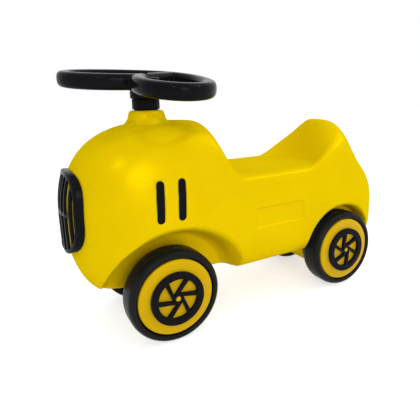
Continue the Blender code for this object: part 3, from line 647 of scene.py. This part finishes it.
def body_cutters(surface):
    upright = Matrix.Translation((0.0, STEER_Y, 0.0))
    cutters = [
        cylinder("upper_bore", UPPER_BORE_RADIUS, 0.30, 0.50, upright),
        cylinder("lower_bore", LOWER_BORE_RADIUS, 0.10, 0.35, upright),
        prism("pocket", rounded_rectangle(*POCKET), -0.01, POCKET_TOP_Z, upright),
    ]
    for side in (1, -1):
        cutters.append(front_housing(side))
        arch = frame_of((0, 1, 0), (0, 0, side), (side, 0, 0), (0.0, AXLE_Y, WHEEL_Z))
        cutters.append(turned("rear_arch", REAR_ARCH, 96, arch, closed=False))
        for slot_y in SLOT_Y:
            place = slot_frame(surface, side, slot_y)
            outline = stadium(SLOT_LENGTH + SLOT_CLEARANCE, SLOT_WIDTH + SLOT_CLEARANCE)
            cutters.append(prism("slot", outline, -SLOT_DEPTH, 0.02, place))
    return cutters


def panel_cutters():
    """The bare sunk panels of the two sides."""
    outline = rounded_rectangle(PANEL_LENGTH, PANEL_HEIGHT, PANEL_CORNER)
    cutters = []
    for side in (1, -1):
        centre = (side * PANEL_FLOOR_X, *PANEL_CENTRE)
        place = frame_of((0, side, 0), (0, 0, 1), (side, 0, 0), centre)
        cutters.append(prism("side_panel", outline, 0.0, 0.004, place, PANEL_FLARE))
    return cutters


# Grille


def grille_plate():
    """The grille laid flat: a rim in XY, and bars and a rib that lie a little below its face."""
    half_x, half_y, rim, power = 0.0625, 0.0675, 0.0065, 3.4
    count, pitch, bar, rib = 7, 0.0152, 0.0056, 0.0072
    plate = prism("front_grille_skin", superellipse(half_x, half_y, power, 128), GAP, 0.0098)
    inside = superellipse(half_x - rim, half_y - rim, power, 128)
    combine(plate, [prism("inside", inside, *THROUGH)])
    strips = []
    for index in range(count):
        x = (index - (count - 1) / 2) * pitch
        reach = (half_y - rim / 2) * arc((abs(x) + bar / 2) / half_x, power)
        outline = [(x - bar / 2, -reach), (x + bar / 2, -reach), (x + bar / 2, reach)]
        strips.append(prism("bar", outline + [(x - bar / 2, reach)], 0.0048, 0.0088))
    reach = (count - 1) / 2 * pitch
    outline = [(-reach, -rib / 2), (reach, -rib / 2), (reach, rib / 2), (-reach, rib / 2)]
    strips.append(prism("rib", outline, 0.0050, 0.0082))
    plate = join(plate, strips)
    plate.name = "front_grille_skin"
    return plate


# Steering wheel


def rim_line(count):
    """The rim's closed centre line, from its front round to its rear."""
    line = []
    for i in range(count):
        angle = 2 * math.pi * i / count - math.pi / 2
        radius = (
            0.0925
            + 0.0434 * math.cos(2 * angle)
            - 0.0074 * math.cos(4 * angle)
            + 0.0168 * math.sin(angle)
            - 0.0250 * math.sin(3 * angle)
        )
        radius = math.hypot(radius, 0.012)
        x = radius * math.cos(angle)
        drop = 0.018 * (math.hypot(x, 0.02) - 0.02)
        line.append((x, radius * math.sin(angle), -drop))
    return line


def tube(name, points, half_wide, half_high, cyclic):
    """A curve with a superelliptic section, made a mesh."""
    section = bpy.data.curves.new(name + "_section", "CURVE")
    section.dimensions = "2D"
    ring = section.splines.new("POLY")
    outline = superellipse(half_wide, half_high, 2.9, 32)
    ring.points.add(len(outline) - 1)
    for point, (x, y) in zip(ring.points, outline):
        point.co = (x, y, 0.0, 1.0)
    ring.use_cyclic_u = True
    section_object = bpy.data.objects.new(name + "_section", section)
    bpy.context.scene.collection.objects.link(section_object)
    curve = bpy.data.curves.new(name, "CURVE")
    curve.dimensions = "3D"
    curve.twist_mode = "Z_UP"
    curve.bevel_mode = "OBJECT"
    curve.bevel_object = section_object
    curve.use_fill_caps = True
    path = curve.splines.new("POLY")
    path.points.add(len(points) - 1)
    for point, place in zip(path.points, points):
        point.co = (*place, 1.0)
    path.use_cyclic_u = cyclic
    obj = bpy.data.objects.new(name, curve)
    bpy.context.scene.collection.objects.link(obj)
    select_only(obj)
    bpy.ops.object.convert(target="MESH")
    obj = bpy.context.object
    bpy.data.objects.remove(section_object, do_unlink=True)
    repair_faces(obj)
    return obj


def join(obj, others):
    bpy.ops.object.select_all(action="DESELECT")
    for other in others:
        other.select_set(True)
    obj.select_set(True)
    bpy.context.view_layer.objects.active = obj
    bpy.ops.object.join()
    return bpy.context.object


# Wheels


def tyre_profile():
    """The tyre's section, out to in, with two fine grooves round the tread."""
    profile = [
        (0.0700, -0.0050), (0.0700, -0.0022), (0.0706, -0.0010),
        (0.0722, -0.0002), (0.0745, 0.0002), (0.0770, -0.0006),
        (0.0792, -0.0024), (0.0808, -0.0050), (0.0819, -0.0084),
        (0.0825, -0.0130),
    ]
    for groove in (-0.0179, -0.0286):
        profile += [
            (0.0825, groove + 0.0013),
            (0.0815, groove + 0.0004),
            (0.0815, groove - 0.0004),
            (0.0825, groove - 0.0013),
        ]
    profile += [
        (0.0825, -0.0345), (0.0819, -0.0385), (0.0808, -0.0418),
        (0.0790, -0.0441), (0.0765, -0.0453), (0.0735, -0.0455),
        (0.0708, -0.0450), (0.0700, -0.0440),
    ]
    return profile


def disc_profile():
    return [
        (0.0, 0.0062), (0.0030, 0.0061), (0.0041, 0.0057),
        (0.0046, 0.0048), (0.0047, 0.0), (0.0480, 0.0),
        (0.0560, -0.0002), (0.0630, -0.0006), (0.0655, -0.0010),
        (0.0668, -0.0018), (0.0674, -0.0032), (0.0674, -0.0057),
        (0.0644, -0.0057), (0.0644, -0.0034), (0.0, -0.0034),
    ]


def core_profile():
    rim, back = 0.0697, -0.0455
    return [
        (0.0054, -0.0100),
        (rim - 0.0035, -0.0100),
        (rim - 0.0035, -0.0062),
        (rim - 0.0008, -0.0060),
        (rim, -0.0068),
        (rim, back + 0.0008),
        (rim - 0.0008, back),
        (rim - 0.0030, back),
        (rim - 0.0035, back + 0.0006),
        (rim - 0.0037, -0.0150),
        (rim - 0.0060, -0.0132),
        (0.0130, -0.0130), (0.0107, -0.0150), (0.0104, -0.0490),
        (0.0098, -0.0494), (0.0054, -0.0494),
    ]


def trim_windows(settings, turn):
    """The openings between the trim's slanting spokes."""
    radius = settings.trim_radius - settings.trim_ring
    sector = 2 * math.pi / settings.spokes
    outer_half, inner_half, offset = 0.0036, 0.0026, 0.0070
    windows = []
    for spoke in range(settings.spokes):
        start = spoke * sector + turn
        first = start + math.asin((offset + outer_half) / radius)
        last = start + sector + math.asin((offset - outer_half) / radius)
        rim = [
            (
                radius * math.cos(first + (last - first) * i / 14),
                radius * math.sin(first + (last - first) * i / 14),
            )
            for i in range(15)
        ]
        far, near = offset + inner_half, offset - inner_half
        lean = (near - far * math.cos(sector)) / math.sin(sector)
        along = Vector((math.cos(start), math.sin(start)))
        across = Vector((-math.sin(start), math.cos(start)))
        windows.append(rim + [tuple(across * far - along * lean)])
    return windows


# Finishes


def link_nodes(tree, source, target):
    tree.links.new(source, target)


def new_group(name, inputs, outputs):
    group = bpy.data.node_groups.new(name, "ShaderNodeTree")
    for label, kind, value in inputs:
        socket = group.interface.new_socket(label, in_out="INPUT", socket_type=kind)
        socket.default_value = value
    for label, kind in outputs:
        group.interface.new_socket(label, in_out="OUTPUT", socket_type=kind)
    start = group.nodes.new("NodeGroupInput")
    end = group.nodes.new("NodeGroupOutput")
    return group, start, end


def noise(group, vector, scale, detail=3.0, roughness=0.5):
    node = group.nodes.new("ShaderNodeTexNoise")
    node.inputs["Detail"].default_value = detail
    node.inputs["Roughness"].default_value = roughness
    link_nodes(group, vector, node.inputs["Vector"])
    if isinstance(scale, float):
        node.inputs["Scale"].default_value = scale
    else:
        link_nodes(group, scale, node.inputs["Scale"])
    return node.outputs["Fac"]


def ranged(group, value, low, high, to_low, to_high):
    node = group.nodes.new("ShaderNodeMapRange")
    node.interpolation_type = "SMOOTHSTEP"
    for label, number in (
        ("From Min", low),
        ("From Max", high),
        ("To Min", to_low),
        ("To Max", to_high),
    ):
        node.inputs[label].default_value = number
    link_nodes(group, value, node.inputs["Value"])
    return node.outputs["Result"]


def arithmetic(group, operation, first, second):
    node = group.nodes.new("ShaderNodeMath")
    node.operation = operation
    for socket, value in zip(node.inputs, (first, second)):
        if isinstance(value, (int, float)):
            socket.default_value = value
        else:
            link_nodes(group, value, socket)
    return node.outputs["Value"]


def skin_group():
    """Moulded skin: a fine height pattern, slow colour drift and where the gloss is rubbed."""
    if "moulded_skin" in bpy.data.node_groups:
        return bpy.data.node_groups["moulded_skin"]
    group, start, end = new_group(
        "moulded_skin",
        (("Grain Scale", "NodeSocketFloat", 900.0), ("Drift Scale", "NodeSocketFloat", 9.0)),
        (
            ("Height", "NodeSocketFloat"),
            ("Drift", "NodeSocketFloat"),
            ("Rub", "NodeSocketFloat"),
        ),
    )
    place = group.nodes.new("ShaderNodeTexCoord").outputs["Object"]
    grain = noise(group, place, start.outputs["Grain Scale"], 2.0)
    waves = noise(group, place, 55.0, 1.0)
    fine = arithmetic(group, "MULTIPLY", grain, 0.35)
    broad = arithmetic(group, "MULTIPLY", waves, 0.65)
    height = arithmetic(group, "ADD", fine, broad)
    clouds = noise(group, place, start.outputs["Drift Scale"], 2.0)
    drift = ranged(group, clouds, 0.3, 0.7, 0.0, 1.0)
    patches = ranged(group, noise(group, place, 26.0, 6.0, 0.65), 0.48, 0.72, 0.0, 1.0)
    hairs = ranged(group, noise(group, place, 420.0, 2.0, 0.6), 0.45, 0.65, 0.4, 1.0)
    rub = arithmetic(group, "MULTIPLY", patches, hairs)
    link_nodes(group, height, end.inputs["Height"])
    link_nodes(group, drift, end.inputs["Drift"])
    link_nodes(group, rub, end.inputs["Rub"])
    return group


def scratch_group():
    """Fine scratches: thin stretched streaks in two directions."""
    if "fine_scratches" in bpy.data.node_groups:
        return bpy.data.node_groups["fine_scratches"]
    group, start, end = new_group(
        "fine_scratches",
        (("Density", "NodeSocketFloat", 60.0),),
        (("Scratch", "NodeSocketFloat"),),
    )
    place = group.nodes.new("ShaderNodeTexCoord").outputs["Object"]
    found = []
    for turn in ((0.3, 0.5, 0.2), (1.1, 0.2, 1.4)):
        mapping = group.nodes.new("ShaderNodeMapping")
        mapping.inputs["Rotation"].default_value = turn
        mapping.inputs["Scale"].default_value = (1.0, 14.0, 1.0)
        link_nodes(group, place, mapping.inputs["Vector"])
        streak = noise(group, mapping.outputs["Vector"], start.outputs["Density"], 4.0, 0.7)
        found.append(ranged(group, streak, 0.66, 0.74, 0.0, 1.0))
    link_nodes(group, arithmetic(group, "MAXIMUM", *found), end.inputs["Scratch"])
    return group


def blend_colour(tree, share, first, second):
    node = tree.nodes.new("ShaderNodeMix")
    node.data_type = "RGBA"
    colours = [socket for socket in node.inputs if socket.type == "RGBA"]
    colours[0].default_value = (*first, 1.0)
    colours[1].default_value = (*second, 1.0)
    link_nodes(tree, share, node.inputs[0])
    return next(socket for socket in node.outputs if socket.type == "RGBA")


def finish(name, colour, shade, gloss, bump, grain=900.0, drift=9.0, scratch=60.0, **constants):
    """A material. Shade is the colour it drifts to, and gloss the roughness new and rubbed."""
    if name in bpy.data.materials:
        return bpy.data.materials[name]
    material = bpy.data.materials.new(name)
    material.use_nodes = True
    tree = material.node_tree
    shader = tree.nodes["Principled BSDF"]
    for label, value in constants.items():
        shader.inputs[label.replace("_", " ")].default_value = value
    skin = tree.nodes.new("ShaderNodeGroup")
    skin.node_tree = skin_group()
    skin.inputs["Grain Scale"].default_value = grain
    skin.inputs["Drift Scale"].default_value = drift
    scratches = tree.nodes.new("ShaderNodeGroup")
    scratches.node_tree = scratch_group()
    scratches.inputs["Density"].default_value = scratch
    base = blend_colour(tree, skin.outputs["Drift"], colour, shade)
    link_nodes(tree, base, shader.inputs["Base Color"])
    worn = arithmetic(
        tree,
        "MAXIMUM",
        arithmetic(tree, "MULTIPLY", skin.outputs["Rub"], 0.6),
        scratches.outputs["Scratch"],
    )
    link_nodes(tree, ranged(tree, worn, 0.0, 1.0, *gloss), shader.inputs["Roughness"])
    bumped = tree.nodes.new("ShaderNodeBump")
    bumped.inputs["Strength"].default_value = bump[0]
    bumped.inputs["Distance"].default_value = bump[1]
    link_nodes(tree, skin.outputs["Height"], bumped.inputs["Height"])
    link_nodes(tree, bumped.outputs["Normal"], shader.inputs["Normal"])
    return material


def shaded(colour, share):
    return tuple(channel * share for channel in colour)


def finishes():
    """The materials by the name of what they are on."""
    paint = bpy.context.scene.car_finish
    yellow = tuple(paint.body_yellow)
    disc = tuple(paint.disc_yellow)
    black = tuple(paint.trim_black)
    rubber = tuple(paint.tyre_black)
    zinc = tuple(paint.zinc)
    return {
        "body": finish(
            "body_skin", yellow, shaded(yellow, 0.95), (0.30, 0.42), (0.06, 0.0006),
            Metallic=0.14, Specular_IOR_Level=0.0, Specular_Tint=(1.0, 0.80, 0.12, 1.0),
            Subsurface_Weight=0.40, Subsurface_Radius=(1.0, 0.35, 0.05), Subsurface_Scale=0.010,
        ),
        "disc": finish(
            "disc_plastic", disc, shaded(disc, 0.96), (0.14, 0.30), (0.04, 0.0004),
            Specular_IOR_Level=0.22, Specular_Tint=(1.0, 0.80, 0.15, 1.0),
        ),
        "gloss_black": finish(
            "gloss_black_plastic", black, shaded(black, 1.5), (0.20, 0.36), (0.06, 0.0005),
            Specular_IOR_Level=0.05,
        ),
        "dull_black": finish(
            "dull_black_plastic", black, shaded(black, 1.4), (0.38, 0.55), (0.10, 0.0005),
            Specular_IOR_Level=0.05,
        ),
        "tyre": finish(
            "tyre_rubber", rubber, shaded(rubber, 1.7), (0.34, 0.52), (0.12, 0.0005), 1500.0,
            Specular_IOR_Level=0.09,
        ),
        "zinc": finish(
            "zinc_plate", zinc, shaded(zinc, 0.82), (0.26, 0.45), (0.06, 0.0003), 700.0, 60.0,
            Metallic=1.0,
        ),
    }


# Operators


class CAR_OT_mould_body(bpy.types.Operator):
    """Moulds the body with its neck, wheel housings, side slots and bare side panels"""

    bl_idname = "car.mould_body"
    bl_label = "Mould Body"

    def execute(self, context):
        settings = context.scene.car_body
        surface = BodySurface(settings)
        body = body_blank(surface)
        body.name = "body_skin"
        neck = turned(
            "neck",
            neck_profile(settings.hood_top),
            96,
            Matrix.Translation((0.0, STEER_Y, 0.0)),
            closed=False,
        )
        combine(body, [neck, rear_boss()], "UNION")
        combine(body, body_cutters(surface))
        soften(body, settings.grain, settings.softening)
        modify(body, "DECIMATE", ratio=settings.kept)
        combine(body, panel_cutters())
        select_only(body)
        bpy.ops.object.shade_smooth_by_angle(angle=math.radians(30))
        finish_piece(body, "car_body", ["body_shell"], finishes()["body"])
        return {"FINISHED"}


class CAR_OT_mould_slot_inserts(bpy.types.Operator):
    """Moulds the black inserts that lie just under the side wall in its slots"""

    bl_idname = "car.mould_slot_inserts"
    bl_label = "Mould Slot Inserts"

    def execute(self, context):
        surface = BodySurface(context.scene.car_body)
        for side, word in ((1, "left"), (-1, "right")):
            for slot_y, end in zip(SLOT_Y, ("front", "rear")):
                node = f"slot_insert_{word}_{end}"
                outline = stadium(SLOT_LENGTH, SLOT_WIDTH)
                insert = prism(f"{node}_skin", outline, *INSERT_BELOW)
                soften(insert, 0.0007, 2)
                place = slot_frame(surface, side, slot_y)
                for vertex in insert.data.vertices:
                    point = place @ Vector((vertex.co.x, vertex.co.y, 0.0))
                    wall = surface.side(point.y, point.z)
                    vertex.co = (side * (wall + vertex.co.z), point.y, point.z)
                repair_faces(insert)
                finish_piece(
                    insert, "car_body", [node], finishes()["gloss_black"]
                )
        return {"FINISHED"}


class CAR_OT_mould_grille(bpy.types.Operator):
    """Moulds the barred grille and lays it on the nose"""

    bl_idname = "car.mould_grille"
    bl_label = "Mould Grille"

    def execute(self, context):
        surface = BodySurface(context.scene.car_body)
        grille = grille_plate()
        soften(grille, 0.0010, 6)
        step = 0.0005
        for vertex in grille.data.vertices:
            x, z = vertex.co.x, GRILLE_Z + vertex.co.y
            y = surface.nose(x, z)
            slope_x = (surface.nose(x + step, z) - y) / step
            slope_z = (surface.nose(x, z + step) - y) / step
            rise = vertex.co.z * math.sqrt(1 + slope_x**2 + slope_z**2)
            vertex.co = (x, y - rise, z)
        repair_faces(grille)
        finish_piece(
            grille, "car_body", ["front_grille"], finishes()["gloss_black"]
        )
        return {"FINISHED"}


class CAR_OT_mould_steering_wheel(bpy.types.Operator):
    """Moulds the two-loop steering wheel with its hub"""

    bl_idname = "car.mould_steering_wheel"
    bl_label = "Mould Steering Wheel"

    def execute(self, context):
        settings = context.scene.car_steering
        half = settings.rim_half
        line = rim_line(192)
        wide, high = 0.90 * half, 1.01 * half
        rim = tube("steering_wheel_skin", line, wide, high, True)
        bridge = tube("bridge", [line[0], line[96]], wide, high, False)
        rim = join(rim, [bridge])
        rim.matrix_world = (
            Matrix.Translation((0.0, STEER_Y, settings.rim_height))
            @ Matrix.Rotation(settings.tilt, 4, "Y")
            @ Matrix.Rotation(settings.turn, 4, "Z")
        )
        settle(rim)
        upright = Matrix.Translation((0.0, STEER_Y, 0.0))
        hub_top = settings.rim_height + 0.006
        hub = cylinder("wheel_hub", HUB_RADIUS, HUB_BASE_Z, hub_top, upright)
        rim = join(rim, [hub])
        rim.name = "steering_wheel_skin"
        soften(rim, 0.0017, 8)
        bore = [
            (0.0, 0.49), (0.0072, 0.49), (0.0072, 0.450),
            (0.0033, 0.450), (0.0033, 0.4403), (0.0078, 0.4403),
            (0.0078, 0.40), (0.0, 0.40),
        ]
        combine(rim, [turned("column_bore", bore, 64, upright, closed=False)])
        drop_slivers(rim)
        finish_piece(
            rim, "steering", ["steering_wheel"], finishes()["gloss_black"]
        )
        return {"FINISHED"}


class CAR_OT_turn_collar(bpy.types.Operator):
    """Turns the collar under the steering wheel"""

    bl_idname = "car.turn_collar"
    bl_label = "Turn Collar"

    def execute(self, context):
        low, high = COLLAR_Z
        edge = 0.0008
        profile = [
            (COLLAR_BORE, high),
            (COLLAR_RADIUS - edge, high),
            (COLLAR_RADIUS, high - edge),
            (COLLAR_RADIUS, low + edge),
            (COLLAR_RADIUS - edge, low),
            (COLLAR_BORE, low),
        ]
        place = Matrix.Translation((0.0, STEER_Y, 0.0))
        collar = turned("steering_collar_skin", profile, 96, place)
        modify(collar, "BEVEL", width=0.0004, segments=2, limit_method="ANGLE")
        select_only(collar)
        bpy.ops.object.shade_smooth_by_angle(angle=math.radians(40))
        finish_piece(
            collar, "steering", ["steering_collar"], finishes()["dull_black"]
        )
        return {"FINISHED"}


class CAR_OT_turn_wheels(bpy.types.Operator):
    """Turns the tyre, core and disc of each wheel"""

    bl_idname = "car.turn_wheels"
    bl_label = "Turn Wheels"

    def execute(self, context):
        segments = context.scene.car_wheels.segments
        made = finishes()
        kinds = (
            ("tyre", tyre_profile(), True, "black_tyre", made["tyre"]),
            ("wheel_core", core_profile(), True, "black_plastic", made["dull_black"]),
            ("wheel_disc", disc_profile(), False, "yellow_plastic", made["disc"]),
        )
        for corner, side, axle_y in CORNERS:
            for kind, profile, closed, slot, material in kinds:
                place = wheel_frame(side, axle_y)
                piece = turned(f"{kind}_{corner}_skin", profile, segments, place, closed)
                select_only(piece)
                bpy.ops.object.shade_smooth_by_angle(angle=math.radians(38))
                finish_piece(piece, f"wheel_{corner}", [f"{kind}_{corner}"], material)
        return {"FINISHED"}


class CAR_OT_cut_hub_trims(bpy.types.Operator):
    """Cuts the black spoked trim of each wheel"""

    bl_idname = "car.cut_hub_trims"
    bl_label = "Cut Hub Trims"

    def execute(self, context):
        settings = context.scene.car_wheels
        material = finishes()["gloss_black"]
        for corner, side, axle_y in CORNERS:
            outer = circle_points(settings.trim_radius, 128)
            trim = prism(f"hub_trim_{corner}_skin", outer, GAP, TRIM_TOP)
            cutters = [prism("hub_hole", circle_points(HUB_HOLE_RADIUS, 48), *THROUGH)]
            for window in trim_windows(settings, TRIM_TURNS[corner.split("_")[0]]):
                cutters.append(prism("window", window, *THROUGH))
            combine(trim, cutters)
            modify(
                trim,
                "BEVEL",
                width=0.0007,
                segments=3,
                limit_method="ANGLE",
                angle_limit=math.radians(50),
            )
            drop_slivers(trim)
            trim.matrix_world = wheel_frame(side, axle_y)
            settle(trim)
            select_only(trim)
            bpy.ops.object.shade_smooth_by_angle(angle=math.radians(38))
            finish_piece(
                trim, f"wheel_{corner}", [f"hub_trim_{corner}"], material
            )
        return {"FINISHED"}


class CAR_OT_finish_small_parts(bpy.types.Operator):
    """Gives the small parts of the frame that stay in view their finishes"""

    bl_idname = "car.finish_small_parts"
    bl_label = "Finish Small Parts"

    def execute(self, context):
        made = finishes()
        kinds = {
            "zinc_steel": made["zinc"],
            "black_plastic": made["dull_black"],
            "black_tyre": made["tyre"],
            "yellow_plastic": made["body"],
        }
        slots = {row["node"]: row["material_slot"] for row in frame["record"]["subparts"]}
        for name, node in frame["nodes"].items():
            node.data.materials.clear()
            node.data.materials.append(kinds[slots[name]])
        return {"FINISHED"}


class CAR_OT_set_stage(bpy.types.Operator):
    """Sets up the floor, the light and the camera"""

    bl_idname = "car.set_stage"
    bl_label = "Set Stage"

    def execute(self, context):
        scene = context.scene
        scene.view_settings.view_transform = "Standard"
        make_floor()
        make_world(scene)
        for lamp in LAMPS:
            add_lamp(*lamp)
        scene.camera = make_camera()
        return {"FINISHED"}


def white_for_viewers(tree, strength):
    """A share that is 1 where the camera, a reflection or a view through glass looks."""
    path = tree.nodes.new("ShaderNodeLightPath")
    seen = arithmetic(
        tree, "MAXIMUM", path.outputs["Is Camera Ray"], path.outputs["Is Glossy Ray"]
    )
    seen = arithmetic(tree, "MAXIMUM", seen, path.outputs["Is Transmission Ray"])
    return arithmetic(tree, "MULTIPLY", seen, strength)


def make_floor():
    bpy.ops.object.select_all(action="DESELECT")
    bpy.ops.mesh.primitive_circle_add(vertices=96, radius=FLOOR_RADIUS, fill_type="NGON")
    floor = bpy.context.object
    floor.name = "studio_floor"
    material = bpy.data.materials.new("studio_floor")
    material.use_nodes = True
    tree = material.node_tree
    shader = tree.nodes["Principled BSDF"]
    shader.inputs["Base Color"].default_value = (FLOOR_LIGHT, FLOOR_LIGHT, FLOOR_LIGHT, 1.0)
    shader.inputs["Roughness"].default_value = 0.9
    shader.inputs["Specular IOR Level"].default_value = 0.0
    shader.inputs["Emission Color"].default_value = (1.0, 1.0, 1.0, 1.0)
    glow = white_for_viewers(tree, FLOOR_GLOW)
    link_nodes(tree, glow, shader.inputs["Emission Strength"])
    floor.data.materials.append(material)


def make_world(scene):
    world = bpy.data.worlds.new("studio_world")
    scene.world = world
    world.use_nodes = True
    tree = world.node_tree
    background = tree.nodes["Background"]
    background.inputs["Color"].default_value = (1.0, 1.0, 1.0, 1.0)
    level = arithmetic(tree, "MAXIMUM", white_for_viewers(tree, 1.0), WORLD_LEVEL)
    link_nodes(tree, level, background.inputs["Strength"])


def add_lamp(name, place, target, size, power):
    bpy.ops.object.light_add(type="AREA", location=place)
    lamp = bpy.context.object
    lamp.name = name
    lamp.data.shape = "DISK"
    lamp.data.size = size
    lamp.data.energy = power
    aim = Vector(target) - Vector(place)
    lamp.rotation_euler = aim.to_track_quat("-Z", "Y").to_euler()


def make_camera():
    yaw, pitch, roll = (math.radians(angle) for angle in CAMERA_TURNS)
    forward = Vector(
        (
            math.cos(pitch) * math.sin(yaw),
            math.cos(pitch) * math.cos(yaw),
            math.sin(pitch),
        )
    )
    right = forward.cross(Vector((0, 0, 1))).normalized()
    up = right.cross(forward)
    level_right = right * math.cos(roll) + up * math.sin(roll)
    level_up = up * math.cos(roll) - right * math.sin(roll)
    data = bpy.data.cameras.new("photo_camera")
    data.sensor_width = 36.0
    data.lens = CAMERA_LENS
    data.shift_x = CAMERA_SHIFT
    data.shift_y = CAMERA_SHIFT
    camera = bpy.data.objects.new("photo_camera", data)
    bpy.context.scene.collection.objects.link(camera)
    place = CAMERA_PLACE - MIDDLE
    camera.matrix_world = frame_of(level_right, level_up, -forward, place)
    return camera


class CAR_PT_pieces(bpy.types.Panel):
    bl_label = "Ride-on Car"
    bl_idname = "CAR_PT_pieces"
    bl_space_type = "VIEW_3D"
    bl_region_type = "UI"
    bl_category = "Ride-on Car"

    def draw(self, context):
        layout = self.layout
        scene = context.scene
        for label, group in (
            ("Body", scene.car_body),
            ("Steering wheel", scene.car_steering),
            ("Wheels", scene.car_wheels),
            ("Colours", scene.car_finish),
        ):
            column = layout.column(heading=label)
            for name in group.__annotations__:
                column.prop(group, name)
        for operator in OPERATORS:
            layout.operator(operator.bl_idname)


OPERATORS = (
    CAR_OT_mould_body,
    CAR_OT_mould_slot_inserts,
    CAR_OT_mould_grille,
    CAR_OT_mould_steering_wheel,
    CAR_OT_turn_collar,
    CAR_OT_turn_wheels,
    CAR_OT_cut_hub_trims,
    CAR_OT_finish_small_parts,
    CAR_OT_set_stage,
)
SETTINGS = (
    ("car_body", CarBodySettings),
    ("car_steering", CarSteeringSettings),
    ("car_wheels", CarWheelSettings),
    ("car_finish", CarFinishSettings),
)


def register():
    for name, group in SETTINGS:
        bpy.utils.register_class(group)
        setattr(bpy.types.Scene, name, bpy.props.PointerProperty(type=group))
    for operator in OPERATORS:
        bpy.utils.register_class(operator)
    bpy.utils.register_class(CAR_PT_pieces)


def unregister():
    bpy.utils.unregister_class(CAR_PT_pieces)
    for operator in reversed(OPERATORS):
        bpy.utils.unregister_class(operator)
    for name, group in reversed(SETTINGS):
        delattr(bpy.types.Scene, name)
        bpy.utils.unregister_class(group)


def main():
    register()
    bpy.ops.car.finish_small_parts()
    bpy.ops.car.mould_body()
    bpy.ops.car.mould_slot_inserts()
    bpy.ops.car.mould_grille()
    bpy.ops.car.mould_steering_wheel()
    bpy.ops.car.turn_collar()
    bpy.ops.car.turn_wheels()
    bpy.ops.car.cut_hub_trims()
    bpy.ops.car.set_stage()


if __name__ == "__main__":
    main()
